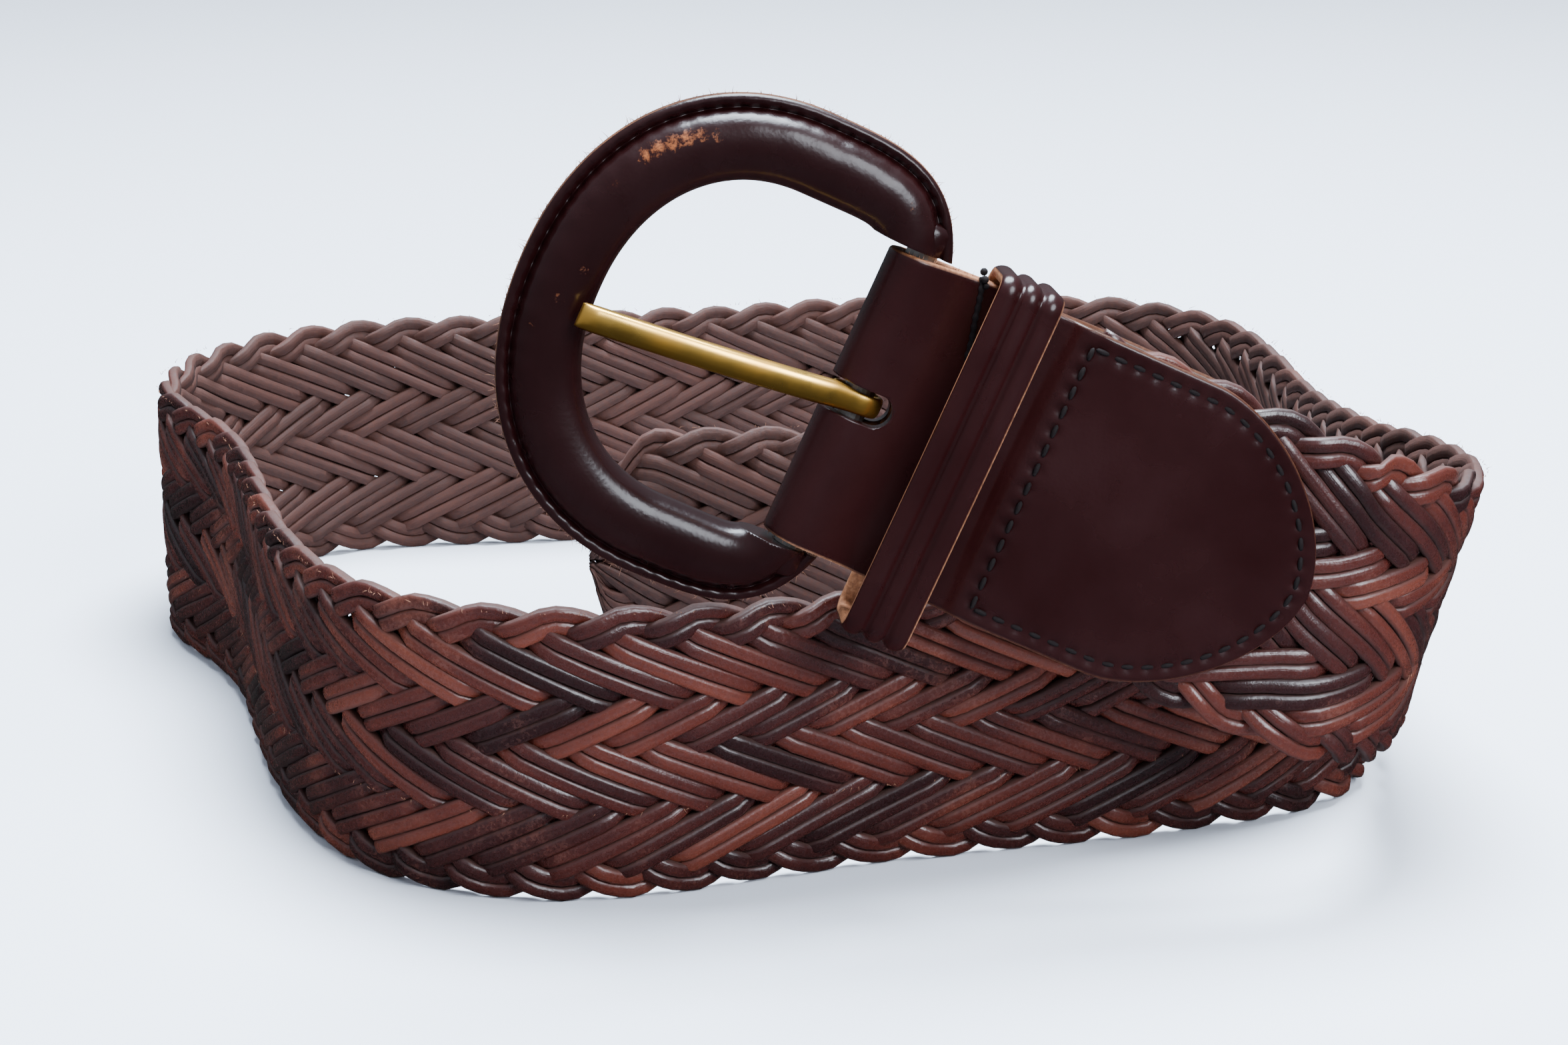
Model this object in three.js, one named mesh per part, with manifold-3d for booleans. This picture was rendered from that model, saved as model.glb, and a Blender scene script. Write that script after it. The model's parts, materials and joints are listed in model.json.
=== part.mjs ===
// A wide braided leather belt, unfastened and coiled on its lower edge, with a padded leather buckle.
// Millimetres, +Z up. The belt stands on z = 0 and the origin is under the middle of its box.

import * as THREE from 'three';
import { mergeVertices } from 'three/addons/utils/BufferGeometryUtils.js';
import Module from 'manifold-3d';

const wasm = await Module();
wasm.setup();

// Braid
const beltWidth = 51;
const braidThickness = 4.5;
const braidEdgeFlat = 2.4;
const braidEdgeBevel = 1.3;
const scallopPitch = 11.1;
const scallopDepth = 1.7;
const tipLength = 14;

// Coil, seen from above
const coilSpan = 240;
const strapFall = 24.4;
const strapHeading = 2;
const buckleRestGap = 0.8;

// Folded leather that holds the buckle and the braid's end
const leather = 2.2;
const chapeWidth = 49.4;
const foldWidth = 47.4;
const chapeLength = 77;
const roundedEnd = 27;
const pinchStart = 9.5;
const keeperStart = 11.4;
const braidStart = 31;
const rampLength = 7;

// Loop that holds the free end down
const keeperWidth = 10.3;
const keeperLeather = 2;
const keeperSpare = 3.4;
const keeperRoom = 5.6;
const keeperDrop = 2.4;
const keeperCorner = 3.2;
const keeperGroove = 0.5;

// Buckle
const barDiameter = 5;
const barSeat = 4;
const lugWall = 1.3;
const windowSpare = 0.8;
const windowReach = 42.6;
const frameBack = 7;
const ringWidth = 12.9;
const padHeight = 5;
const padBack = 3.6;
const flangeWidth = 3.9;
const flangeThickness = 2.8;
const prongWidth = 4.2;
const prongThickness = 3;
const prongOverlap = 1.8;
const prongEyeWall = 1.4;
const prongSag = 5.6;

// Clearances
const gap = 0.3;
const slotGap = 0.6;
const sideGap = 0.4;

// The coil's middle line after the leather end. x and y are shares of the coil's span, lift is a share of
// the height that the strap still has at the leather's end, lean is outward at the top, in degrees.
const coilRoute = [
  { x: 0.366, y: -0.427, lift: 1.00, lean: -4 },
  { x: 0.412, y: -0.409, lift: 0.83, lean: 5 },
  { x: 0.445, y: -0.368, lift: 0.69, lean: 13 },
  { x: 0.467, y: -0.304, lift: 0.57, lean: 15 },
  { x: 0.480, y: -0.217, lift: 0.43, lean: 10 },
  { x: 0.477, y: -0.133, lift: 0.29, lean: 5 },
  { x: 0.465, y: -0.042, lift: 0.16, lean: 2 },
  { x: 0.453, y: 0.063, lift: 0.05, lean: 1 },
  { x: 0.445, y: 0.179, lift: 0, lean: 0 },
  { x: 0.436, y: 0.283, lift: 0, lean: 0 },
  { x: 0.414, y: 0.371, lift: 0, lean: 0 },
  { x: 0.366, y: 0.436, lift: 0, lean: 0 },
  { x: 0.295, y: 0.466, lift: 0, lean: 0 },
  { x: 0.196, y: 0.471, lift: 0, lean: 0 },
  { x: 0.096, y: 0.462, lift: 0, lean: 0 },
  { x: -0.046, y: 0.428, lift: 0, lean: 0 },
  { x: -0.188, y: 0.395, lift: 0, lean: 0 },
  { x: -0.288, y: 0.383, lift: 0, lean: 0 },
  { x: -0.362, y: 0.366, lift: 0, lean: 0 },
  { x: -0.424, y: 0.325, lift: 0, lean: 0 },
  { x: -0.469, y: 0.266, lift: 0, lean: 0 },
  { x: -0.488, y: 0.193, lift: 0, lean: 0 },
  { x: -0.478, y: 0.116, lift: 0, lean: 0 },
  { x: -0.437, y: 0.045, lift: 0, lean: 0 },
  { x: -0.396, y: -0.045, lift: 0, lean: 0 },
  { x: -0.356, y: -0.190, lift: 0, lean: 0 },
  { x: -0.318, y: -0.297, lift: 0, lean: 1 },
  { x: -0.279, y: -0.366, lift: 0, lean: 2 },
  { x: -0.236, y: -0.410, lift: 0, lean: 3 },
  { x: -0.190, y: -0.434, lift: 0, lean: 4 },
  { x: -0.100, y: -0.444, lift: 0, lean: 5 },
  { x: -0.013, y: -0.424, lift: 0, lean: 8 },
  { x: 0.077, y: -0.393, lift: 0, lean: 10 },
  { x: 0.217, y: -0.360, lift: 0, lean: 12 },
  { x: 0.312, y: -0.326, lift: 0, lean: 9 },
  { x: 0.363, y: -0.302, lift: 0, lean: 6 },
  { x: 0.402, y: -0.272, lift: 0, lean: 3 },
  { x: 0.432, y: -0.235, lift: 0, lean: 1 },
  { x: 0.443, y: -0.180, lift: 0, lean: 0 },
  { x: 0.433, y: -0.118, lift: 0, lean: 0 },
  { x: 0.396, y: -0.066, lift: 0, lean: 0 },
  { x: 0.341, y: -0.027, lift: 0, lean: 0 },
  { x: 0.268, y: -0.005, lift: 0, lean: 0 },
  { x: 0.146, y: 0.003, lift: 0, lean: 0 },
  { x: 0.021, y: 0.000, lift: 0, lean: 0 },
  { x: -0.131, y: -0.006, lift: 0, lean: 0 },
];

// One scallop of the braid's edge: where its corners lie along the pitch, and how deep, as shares.
const scallopShape = [
  { along: 0, depth: 1 },
  { along: 0.15, depth: 0.28 },
  { along: 0.36, depth: 0 },
  { along: 0.66, depth: 0 },
];

// The buckle ring's cross-section, from its inner edge (across 0) to its outer edge (across 1).
// height is a share of the pad's height; the flat rim outside the pad is added from its own sizes.
const padShape = [
  { across: 0, height: 0.22 },
  { across: 0.07, height: 0.66 },
  { across: 0.24, height: 0.92 },
  { across: 0.48, height: 1 },
  { across: 0.74, height: 0.88 },
  { across: 0.94, height: 0.58 },
];

// The ring's outline is squarer at the bar than at its far side.
const squareness = { bar: 3.3, barInside: 9, far: 2.15 };
const ringSteps = 64;

const barRadius = barDiameter / 2;
const prongEye = barRadius + gap + prongEyeWall;
const frameHeight = chapeWidth + 2 * (windowSpare + ringWidth);
const frameReach = windowReach + ringWidth;
const foldRadius = barRadius + gap + leather;
const chapeHalf = chapeWidth / 2;
const braidHalf = beltWidth / 2;
const up = new THREE.Vector3(0, 0, 1);
const leadMargin = 2;
const leadLength = chapeLength + leadMargin;

// Cubic spline through values at knots, with a given slope at its start and none bent at its end.
function spline(knots, values, startSlope) {
  const last = knots.length - 1;
  const step = knots.slice(1).map((knot, i) => knot - knots[i]);
  const slope = step.map((width, i) => (values[i + 1] - values[i]) / width);
  const ratio = [0.5];
  const right = [(3 * (slope[0] - startSlope)) / step[0]];
  for (let i = 1; i < last; i++) {
    const pivot = 2 * (step[i - 1] + step[i]) - step[i - 1] * ratio[i - 1];
    ratio[i] = step[i] / pivot;
    right[i] = (6 * (slope[i] - slope[i - 1]) - step[i - 1] * right[i - 1]) / pivot;
  }
  const bend = new Array(last + 1).fill(0);
  for (let i = last - 1; i >= 0; i--) bend[i] = right[i] - ratio[i] * bend[i + 1];
  return (at) => {
    let i = 0;
    while (i < last - 1 && at > knots[i + 1]) i++;
    const b = (at - knots[i]) / step[i];
    const a = 1 - b;
    const curve = (a ** 3 - a) * bend[i] + (b ** 3 - b) * bend[i + 1];
    return a * values[i] + b * values[i + 1] + (curve * step[i] ** 2) / 6;
  };
}

// Directions at a point of the strap: along it, across it (up when it stands) and out of its front face.
function strapAxes(along, leanDegrees) {
  const lean = THREE.MathUtils.degToRad(leanDegrees);
  const across = up.clone().addScaledVector(along, -up.dot(along)).normalize();
  const outward = along.clone().cross(across);
  across.multiplyScalar(Math.cos(lean)).addScaledVector(outward, Math.sin(lean)).normalize();
  return { along, across, outward: along.clone().cross(across) };
}

// Height of the middle line over the table where the strap's lower edge rests on it.
function restHeight(leanDegrees) {
  const lean = Math.abs(THREE.MathUtils.degToRad(leanDegrees));
  return braidHalf * Math.cos(lean) + (braidEdgeFlat / 2) * Math.sin(lean);
}

// Distance from the ring's centre to its edge, in the buckle's plane, at an angle from the bar side.
function ringEdge(angle, inset) {
  const toBar = Math.cos(angle) > 0;
  const centre = ringCentre();
  const long = (toBar ? frameBack - centre : frameReach + centre) - inset;
  const tall = frameHeight / 2 - inset;
  const barPower = THREE.MathUtils.lerp(squareness.bar, squareness.barInside, inset / ringWidth);
  const power = toBar ? barPower : squareness.far;
  const sum = Math.abs(Math.cos(angle) / long) ** power + Math.abs(Math.sin(angle) / tall) ** power;
  return sum ** (-1 / power);
}

function ringCentre() {
  return (frameBack - frameReach) / 2 + frameBack / 2;
}

// Buckle axes: the strap's own at its leather end, and the bar's place over the table.
const fall = THREE.MathUtils.degToRad(strapFall);
const heading = THREE.MathUtils.degToRad(strapHeading);
const leadAlong = new THREE.Vector3(
  Math.cos(fall) * Math.cos(heading),
  Math.cos(fall) * Math.sin(heading),
  -Math.sin(fall),
);
const leadAxes = strapAxes(leadAlong, coilRoute[0].lean);

// How far the buckle's ring reaches below the bar's middle.
function ringDrop() {
  let lowest = 0;
  for (let i = 0; i < ringSteps; i++) {
    const angle = (i / ringSteps) * 2 * Math.PI;
    const reach = ringEdge(angle, 0);
    const x = ringCentre() + reach * Math.cos(angle);
    const y = reach * Math.sin(angle);
    lowest = Math.min(lowest, x * leadAxes.along.z + y * leadAxes.across.z);
  }
  return -lowest + padBack * Math.abs(leadAxes.outward.z);
}

const barHeight = beltWidth + buckleRestGap + ringDrop();
const leadEnd = new THREE.Vector3(
  coilRoute[0].x * coilSpan,
  coilRoute[0].y * coilSpan,
  barHeight + leadLength * leadAlong.z,
);
const barCentre = leadEnd.clone().addScaledVector(leadAlong, -leadLength);

// The strap's middle line: straight from the bar to the lead's end, then a spline round the coil.
function makeRoute() {
  const spareLift = leadEnd.z - restHeight(0);
  const points = coilRoute.map(({ x, y, lift, lean }) =>
    new THREE.Vector3(x * coilSpan, y * coilSpan, restHeight(lean) + lift * spareLift));
  points[0].copy(leadEnd);
  const knots = [0];
  for (let i = 1; i < points.length; i++) knots.push(knots[i - 1] + points[i].distanceTo(points[i - 1]));
  const axes = ['x', 'y', 'z'].map((axis) => spline(knots, points.map((p) => p[axis]), leadAlong[axis]));
  const leanAt = spline(knots, coilRoute.map((row) => row.lean), 0);
  const restKnot = knots[coilRoute.findIndex((row) => row.lift === 0)];
  const pointAt = (at) => {
    const point = new THREE.Vector3(...axes.map((axis) => axis(at)));
    if (at >= restKnot) point.z = restHeight(leanAt(at));
    return point;
  };

  const samples = [{ knot: 0, length: leadLength, point: pointAt(0) }];
  const sampleStep = 1;
  const sampleCount = Math.ceil(knots.at(-1) / sampleStep);
  for (let i = 1; i <= sampleCount; i++) {
    const knot = (i / sampleCount) * knots.at(-1);
    const point = pointAt(knot);
    const before = samples.at(-1);
    samples.push({ knot, length: before.length + point.distanceTo(before.point), point });
  }

  const at = (length) => {
    if (length <= leadLength) {
      return { centre: barCentre.clone().addScaledVector(leadAlong, length), ...leadAxes };
    }
    let i = 1;
    while (i < samples.length - 1 && samples[i].length < length) i++;
    const part = (length - samples[i - 1].length) / (samples[i].length - samples[i - 1].length);
    const knot = THREE.MathUtils.lerp(samples[i - 1].knot, samples[i].knot, part);
    const reach = sampleStep / 2;
    const along = pointAt(knot + reach).sub(pointAt(knot - reach)).normalize();
    return { centre: pointAt(knot), ...strapAxes(along, leanAt(knot)) };
  };
  return { at, length: samples.at(-1).length };
}

// Closed body from rows of points, each row a ring, with flat ends or with the last row joined to the first.
function loft(rows, joined) {
  const size = rows[0].length;
  const positions = rows.flat().flatMap((p) => [p.x, p.y, p.z]);
  const index = [];
  const rowCount = joined ? rows.length : rows.length - 1;
  for (let i = 0; i < rowCount; i++) {
    const here = i * size;
    const next = ((i + 1) % rows.length) * size;
    for (let j = 0; j < size; j++) {
      const k = (j + 1) % size;
      index.push(here + j, next + j, next + k, here + j, next + k, here + k);
    }
  }
  if (!joined) {
    const end = (rows.length - 1) * size;
    for (let j = 1; j < size - 1; j++) {
      index.push(0, j, j + 1);
      index.push(end, end + j + 1, end + j);
    }
  }
  const geometry = new THREE.BufferGeometry();
  geometry.setAttribute('position', new THREE.Float32BufferAttribute(positions, 3));
  geometry.setIndex(index);
  return geometry;
}

function toSolid(geometry) {
  const bare = geometry.clone();
  for (const name of Object.keys(bare.attributes)) if (name !== 'position') bare.deleteAttribute(name);
  const merged = mergeVertices(bare, 1e-4);
  const vertProperties = new Float32Array(merged.attributes.position.array);
  const triVerts = new Uint32Array(merged.index.array);
  return new wasm.Manifold(new wasm.Mesh({ numProp: 3, vertProperties, triVerts }));
}

function toGeometry(solid) {
  const mesh = solid.getMesh();
  const geometry = new THREE.BufferGeometry();
  geometry.setAttribute('position', new THREE.Float32BufferAttribute(mesh.vertProperties, 3));
  geometry.setIndex(new THREE.BufferAttribute(mesh.triVerts, 1));
  return geometry;
}

// Solid of a flat outline. Its thickness runs both ways from the outline's plane.
function slab(shape, thickness, curveSegments) {
  const geometry = new THREE.ExtrudeGeometry(shape, { depth: thickness, bevelEnabled: false, curveSegments });
  return geometry.translate(0, 0, -thickness / 2);
}

// Half width of the braid: scalloped all along and rounded off at the free end.
function braidHalfWidth(length, total, depth) {
  const toTip = (length - (total - tipLength)) / tipLength;
  const rounding = toTip > 0 ? Math.sqrt(Math.max(1 - toTip ** 2, 0)) : 1;
  return (braidHalf - depth * scallopDepth) * rounding;
}

function makeBraid(route) {
  const total = route.length;
  const pitches = Math.round((total - braidStart) / scallopPitch);
  const pitch = (total - braidStart) / pitches;
  const stations = [];
  for (let i = 0; i < pitches; i++) {
    for (const { along, depth } of scallopShape) {
      stations.push({ length: braidStart + (i + along) * pitch, depth });
    }
  }
  const lastCut = 0.12;
  stations.push({ length: total - lastCut, depth: 1 });
  const rows = stations.map(({ length, depth }) => {
    const { centre, across, outward } = route.at(length);
    const half = braidHalfWidth(length, total, depth);
    const bevel = Math.min(braidEdgeBevel, half / 2);
    const face = braidThickness / 2;
    const flat = braidEdgeFlat / 2;
    const corners = [
      [half - bevel, face], [half, flat], [half, -flat], [half - bevel, -face],
      [bevel - half, -face], [-half, -flat], [-half, flat], [bevel - half, face],
    ];
    return corners.map(([w, n]) => centre.clone().addScaledVector(across, w).addScaledVector(outward, n));
  });
  return loft(rows, false);
}

// Side view of the folded leather: a round fold about the bar, pinched flat, then open round the braid.
function chapeProfile() {
  const pocket = braidThickness / 2 + gap;
  const face = pocket + leather;
  const tangent = Math.atan2(leather, pinchStart) + Math.acos(foldRadius / Math.hypot(pinchStart, leather));
  const pocketStart = braidStart - gap;
  const profile = new THREE.Shape();
  profile.moveTo(chapeLength, pocket);
  profile.lineTo(chapeLength, face);
  profile.lineTo(braidStart, face);
  profile.lineTo(braidStart - rampLength, leather);
  profile.lineTo(pinchStart, leather);
  profile.absarc(0, 0, foldRadius, tangent, 2 * Math.PI - tangent, false);
  profile.lineTo(pinchStart, -leather);
  profile.lineTo(braidStart - rampLength, -leather);
  profile.lineTo(braidStart, -face);
  profile.lineTo(chapeLength, -face);
  profile.lineTo(chapeLength, -pocket);
  profile.lineTo(pocketStart, -pocket);
  profile.lineTo(pocketStart, pocket);
  profile.closePath();
  const bore = new THREE.Path();
  bore.absarc(0, 0, barRadius + gap, 0, 2 * Math.PI, true);
  profile.holes.push(bore);
  return profile;
}

// Front view of the folded leather: a little narrower at the fold, rounded at its far end.
function chapeOutline() {
  const endSteps = 9;
  const roundness = 1.7;
  const straightEnd = chapeLength - roundedEnd;
  const side = [[-foldRadius - gap, foldWidth / 2], [keeperStart, chapeHalf]];
  for (let i = 0; i <= endSteps; i++) {
    const angle = (1 - i / endSteps) * (Math.PI / 2);
    const x = straightEnd + roundedEnd * Math.cos(angle) ** (2 / roundness);
    side.push([x, chapeHalf * Math.sin(angle) ** (2 / roundness)]);
  }
  const mirrored = side.slice(0, -1).reverse().map(([x, y]) => [x, -y]);
  return new THREE.Shape([...side, ...mirrored].map(([x, y]) => new THREE.Vector2(x, y)));
}

// Way for the prong through the fold, round at its inner end and just clear of the eye's corners.
function prongSlot() {
  const half = prongWidth / 2 + slotGap;
  const innerEnd = prongEye - Math.sqrt((half - gap) ** 2 - (prongWidth / 2) ** 2);
  const slot = new THREE.Shape();
  slot.moveTo(-2 * foldRadius, -half);
  slot.lineTo(innerEnd, -half);
  slot.absarc(innerEnd, 0, half, -Math.PI / 2, Math.PI / 2, false);
  slot.lineTo(-2 * foldRadius, half);
  slot.closePath();
  return slab(slot, 4 * foldRadius, 10);
}

function makeChape() {
  const side = slab(chapeProfile(), chapeWidth, 14).rotateX(Math.PI / 2);
  const front = slab(chapeOutline(), 4 * foldRadius, 1);
  return toGeometry(toSolid(side).intersect(toSolid(front)).subtract(toSolid(prongSlot())));
}

// Closed loop of leather round the pinched part, with room in front for the free end. Two grooves run along it.
function makeKeeper() {
  const groove = keeperWidth / 6;
  const edge = 0.5;
  const section = [
    [0, keeperLeather], [0, edge], [edge, 0],
    [2 * groove - edge, 0], [2 * groove, keeperGroove], [2 * groove + edge, 0],
    [4 * groove - edge, 0], [4 * groove, keeperGroove], [4 * groove + edge, 0],
    [keeperWidth - edge, 0], [keeperWidth, edge], [keeperWidth, keeperLeather],
  ];
  const halfTall = chapeHalf + keeperSpare + keeperLeather - keeperCorner;
  const front = leather + gap + keeperRoom + keeperLeather - keeperCorner;
  const back = -(leather + gap + keeperLeather) + keeperCorner;
  const middle = (front + back) / 2;
  const frontHalf = (front - back) / 2;
  const cornerSteps = 4;
  const rows = [];
  for (let corner = 0; corner < 4; corner++) {
    for (let i = 0; i <= cornerSteps; i++) {
      const angle = (corner + i / cornerSteps) * (Math.PI / 2);
      const y = Math.sign(Math.cos((corner + 0.5) * (Math.PI / 2))) * halfTall;
      const z = Math.sign(Math.sin((corner + 0.5) * (Math.PI / 2))) * frontHalf + middle;
      rows.push(section.map(([x, inset]) => new THREE.Vector3(
        keeperStart + x,
        y - keeperDrop + (keeperCorner - inset) * Math.cos(angle),
        z + (keeperCorner - inset) * Math.sin(angle),
      )));
    }
  }
  return loft(rows, true);
}

// Heights of the padded ring's front at shares of its width, and the flat rim that surrounds the pad.
function ringSection() {
  const rimStart = 1 - flangeWidth / ringWidth;
  const rim = flangeThickness / 2;
  const pad = padShape.map(({ across, height }) => ({ across: across * rimStart, height }));
  const front = pad.map(({ across, height }) => [across, height * padHeight]).reverse();
  const back = pad.map(({ across, height }) => [across, -height * padBack]);
  return [...back, [rimStart, -rim], [1, -rim], [1, rim], [rimStart, rim], ...front];
}

function padHeightAt(depth) {
  const share = depth / (ringWidth - flangeWidth);
  const next = Math.max(1, padShape.findIndex((row) => row.across >= share));
  const [low, high] = [padShape[next - 1], padShape[next]];
  const part = (share - low.across) / (high.across - low.across);
  return padHeight * THREE.MathUtils.lerp(low.height, high.height, part);
}

function makeFrame() {
  const section = ringSection();
  const rows = [];
  for (let i = 0; i < ringSteps; i++) {
    const angle = (i / ringSteps) * 2 * Math.PI;
    const outer = ringEdge(angle, 0);
    const inner = ringEdge(angle, ringWidth);
    rows.push(section.map(([across, height]) => {
      const reach = THREE.MathUtils.lerp(inner, outer, across);
      return new THREE.Vector3(ringCentre() + reach * Math.cos(angle), reach * Math.sin(angle), height);
    }));
  }
  const halfOpening = chapeHalf + sideGap;
  const lugRadius = barRadius + gap + lugWall;
  const lugs = new THREE.CylinderGeometry(lugRadius, lugRadius, 2 * (halfOpening + barSeat + lugWall), 20);
  const ring = toSolid(loft(rows, true)).add(toSolid(lugs));
  const opening = new THREE.BoxGeometry(ringWidth + 2 * foldRadius, 2 * halfOpening, 4 * foldRadius)
    .translate(frameBack - ringWidth / 2, 0, 0);
  const seats = new THREE.CylinderGeometry(barRadius + gap, barRadius + gap, 2 * (halfOpening + barSeat), 20);
  return toGeometry(ring.subtract(toSolid(opening)).subtract(toSolid(seats)));
}

function makeBar() {
  const length = 2 * (chapeHalf + sideGap + barSeat - gap);
  return new THREE.CylinderGeometry(barRadius, barRadius, length, 20);
}

// The prong: an eye round the bar and a shank to the ring's far side, a little bowed, blunt at its tip.
// Its play on the bar lets the shank sag towards the strap's lower edge.
function makeProng() {
  const bore = barRadius + gap;
  const tip = -(windowReach + prongOverlap);
  const sagging = 1.5;
  const rest = padHeightAt(sagging * prongOverlap) + gap;
  const bow = 0.6;
  const chamfer = prongThickness * 0.6;
  const middle = tip / 2;
  const lowerJoin = Math.PI * 0.84;
  const outline = new THREE.Shape();
  outline.moveTo(0, prongEye);
  outline.lineTo(-prongEye, prongEye + bow);
  outline.lineTo(middle, rest + prongThickness + bow);
  outline.lineTo(tip + chamfer, rest + prongThickness);
  outline.lineTo(tip, rest + prongThickness - chamfer);
  outline.lineTo(tip, rest);
  outline.lineTo(middle, rest + bow);
  outline.lineTo(prongEye * Math.cos(lowerJoin), prongEye * Math.sin(lowerJoin));
  outline.absarc(0, 0, prongEye, lowerJoin, Math.PI * 2.5, false);
  outline.closePath();
  const hole = new THREE.Path();
  hole.absarc(0, 0, bore, 0, 2 * Math.PI, true);
  outline.holes.push(hole);
  const prong = slab(outline, prongWidth, 10).rotateX(Math.PI / 2);
  const place = prong.attributes.position;
  const slant = Math.tan(THREE.MathUtils.degToRad(prongSag));
  for (let i = 0; i < place.count; i++) {
    const pastEye = Math.max(0, -prongEye - place.getX(i));
    place.setY(i, place.getY(i) - slant * pastEye);
  }
  return prong;
}

function named(name, geometry, colour, roughness, metalness) {
  const material = new THREE.MeshStandardMaterial({ color: colour, roughness, metalness });
  const mesh = new THREE.Mesh(geometry, material);
  mesh.name = name;
  return mesh;
}

const route = makeRoute();
const belt = new THREE.Group();
belt.name = 'braided_belt';
belt.add(named('braid', makeBraid(route), '#5a3327', 0.5, 0));

const buckleEnd = new THREE.Group();
buckleEnd.name = 'buckle_end';
buckleEnd.position.copy(barCentre);
buckleEnd.quaternion.setFromRotationMatrix(
  new THREE.Matrix4().makeBasis(leadAxes.along, leadAxes.across, leadAxes.outward),
);
buckleEnd.add(named('chape', makeChape(), '#3c1f1d', 0.42, 0));
buckleEnd.add(named('keeper', makeKeeper(), '#3a1d1b', 0.42, 0));
buckleEnd.add(named('buckle_frame', makeFrame(), '#2b1516', 0.38, 0));
buckleEnd.add(named('buckle_bar', makeBar(), '#8d8a84', 0.4, 1));
buckleEnd.add(named('prong', makeProng(), '#b3985c', 0.25, 1));
belt.add(buckleEnd);

// Stand the belt on z = 0 with the origin under the middle of its box.
belt.updateMatrixWorld(true);
const box = new THREE.Box3().setFromObject(belt, true);
belt.position.set(-(box.min.x + box.max.x) / 2, -(box.min.y + box.max.y) / 2, -box.min.z);
belt.updateMatrixWorld(true);

export default belt;
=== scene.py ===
# A braided leather belt: eighteen doubled strands woven along the coil, and its padded leather buckle end.
# Sizes are in metres, with MM for what is given in millimetres.

import itertools
import json
import math

import bpy
import numpy as np
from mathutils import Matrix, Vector


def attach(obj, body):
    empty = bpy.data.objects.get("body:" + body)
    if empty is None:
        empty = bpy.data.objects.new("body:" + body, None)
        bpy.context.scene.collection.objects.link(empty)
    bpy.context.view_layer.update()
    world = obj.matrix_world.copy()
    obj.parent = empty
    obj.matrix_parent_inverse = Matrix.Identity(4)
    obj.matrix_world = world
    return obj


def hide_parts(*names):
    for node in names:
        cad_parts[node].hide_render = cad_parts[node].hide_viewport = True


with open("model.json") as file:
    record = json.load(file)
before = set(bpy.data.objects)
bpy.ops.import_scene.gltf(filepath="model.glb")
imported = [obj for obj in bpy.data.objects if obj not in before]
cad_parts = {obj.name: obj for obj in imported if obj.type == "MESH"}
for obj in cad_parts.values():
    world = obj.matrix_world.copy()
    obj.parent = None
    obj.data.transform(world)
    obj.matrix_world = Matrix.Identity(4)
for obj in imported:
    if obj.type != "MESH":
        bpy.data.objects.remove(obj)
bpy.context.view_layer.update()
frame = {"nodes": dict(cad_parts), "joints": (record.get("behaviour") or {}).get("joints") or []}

MM = 0.001
rng = np.random.default_rng(18)

# Photograph's viewpoint
CAMERA_PLACE = Vector((3.65, -589.2, 207.0)) * MM
CAMERA_PITCH = math.radians(16.5)
SENSOR_WIDTH = 36.0
FOCAL_LENGTH = 75.0

# Strap
BELT_WIDTH = 51 * MM
BRAID_START = 31 * MM
CHAPE_LENGTH = 77 * MM
LEAD_LENGTH = CHAPE_LENGTH + 2 * MM
COIL_SPAN = 240 * MM
STRAP_FALL = math.radians(24.4)
STRAP_HEADING = math.radians(2)
EDGE_FLAT = 2.4 * MM
TIP_LENGTH = 14 * MM
SCALLOP_PITCH = 11.1 * MM

# Strands
STRANDS = 18
STRAND_WIDTH = 4.86 * MM
STRIP_THICKNESS = 1.85 * MM
EDGE_TURN = 3.2 * MM
STRIP_STEP = 1.9 * MM
STRANDS_PER_PIECE = 3
TAIL_GAP = 0.3 * MM
TIP_BLUNT = 0.995
# How far a strand lies off the strap's middle, with a float's ends and the arch between them as shares.
WEAVE_RISE = 1.02 * MM
FLOAT_END = 0.85
FLOAT_ARCH = 0.32
# Share of the way to the next crossing at which a strand starts to change sides.
SWAP_START = 0.1
# Levels from the top edge down at which a strand running down to the right lies on top.
DOWN_ON_TOP = {2, 3, 4, 5, 9, 10, 11, 12, 17}
# A strip's outline: shares of its half width and half thickness, and of cut side.
STRIP_SECTION = [
    (-1.0, -0.65, 1), (-1.0, 0.3, 1), (-0.87, 0.73, 0.3), (-0.52, 0.97, 0), (0.0, 1.07, 0), (0.52, 0.97, 0),
    (0.87, 0.73, 0.3), (1.0, 0.3, 1), (1.0, -0.65, 1), (0.84, -1.0, 0.5), (-0.84, -1.0, 0.5),
]
BACK_BELOW = -0.5
# Unevenness along a strand or strip: how much, and its shortest wave.
STRAND_DRIFT = (0.22 * MM, 35 * MM)
STRAND_FADE = (0.32, 45 * MM)
STRAND_ROLL = (0.2, 22 * MM)
STRIP_SWELL = (0.06 * MM, 20 * MM)
STRIP_DRIFT = (0.12 * MM, 25 * MM)
STRIP_LIFT = (0.12 * MM, 18 * MM)
STRIP_ROLL = (0.1, 25 * MM)
STRIP_FADE = (0.1, 20 * MM)
# Drawn once for a strand or strip: the least value, and the range above it.
STRAND_TONE = (0.1, 0.75)
STRIP_WIDTH_SHARE = (0.96, 0.05)
STRIP_THICKNESS_SHARE = (0.94, 0.1)
STRIP_TONE_SPREAD = 0.07
STRIP_TURN = 0.07
GRAIN_SHIFT = 7

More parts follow.
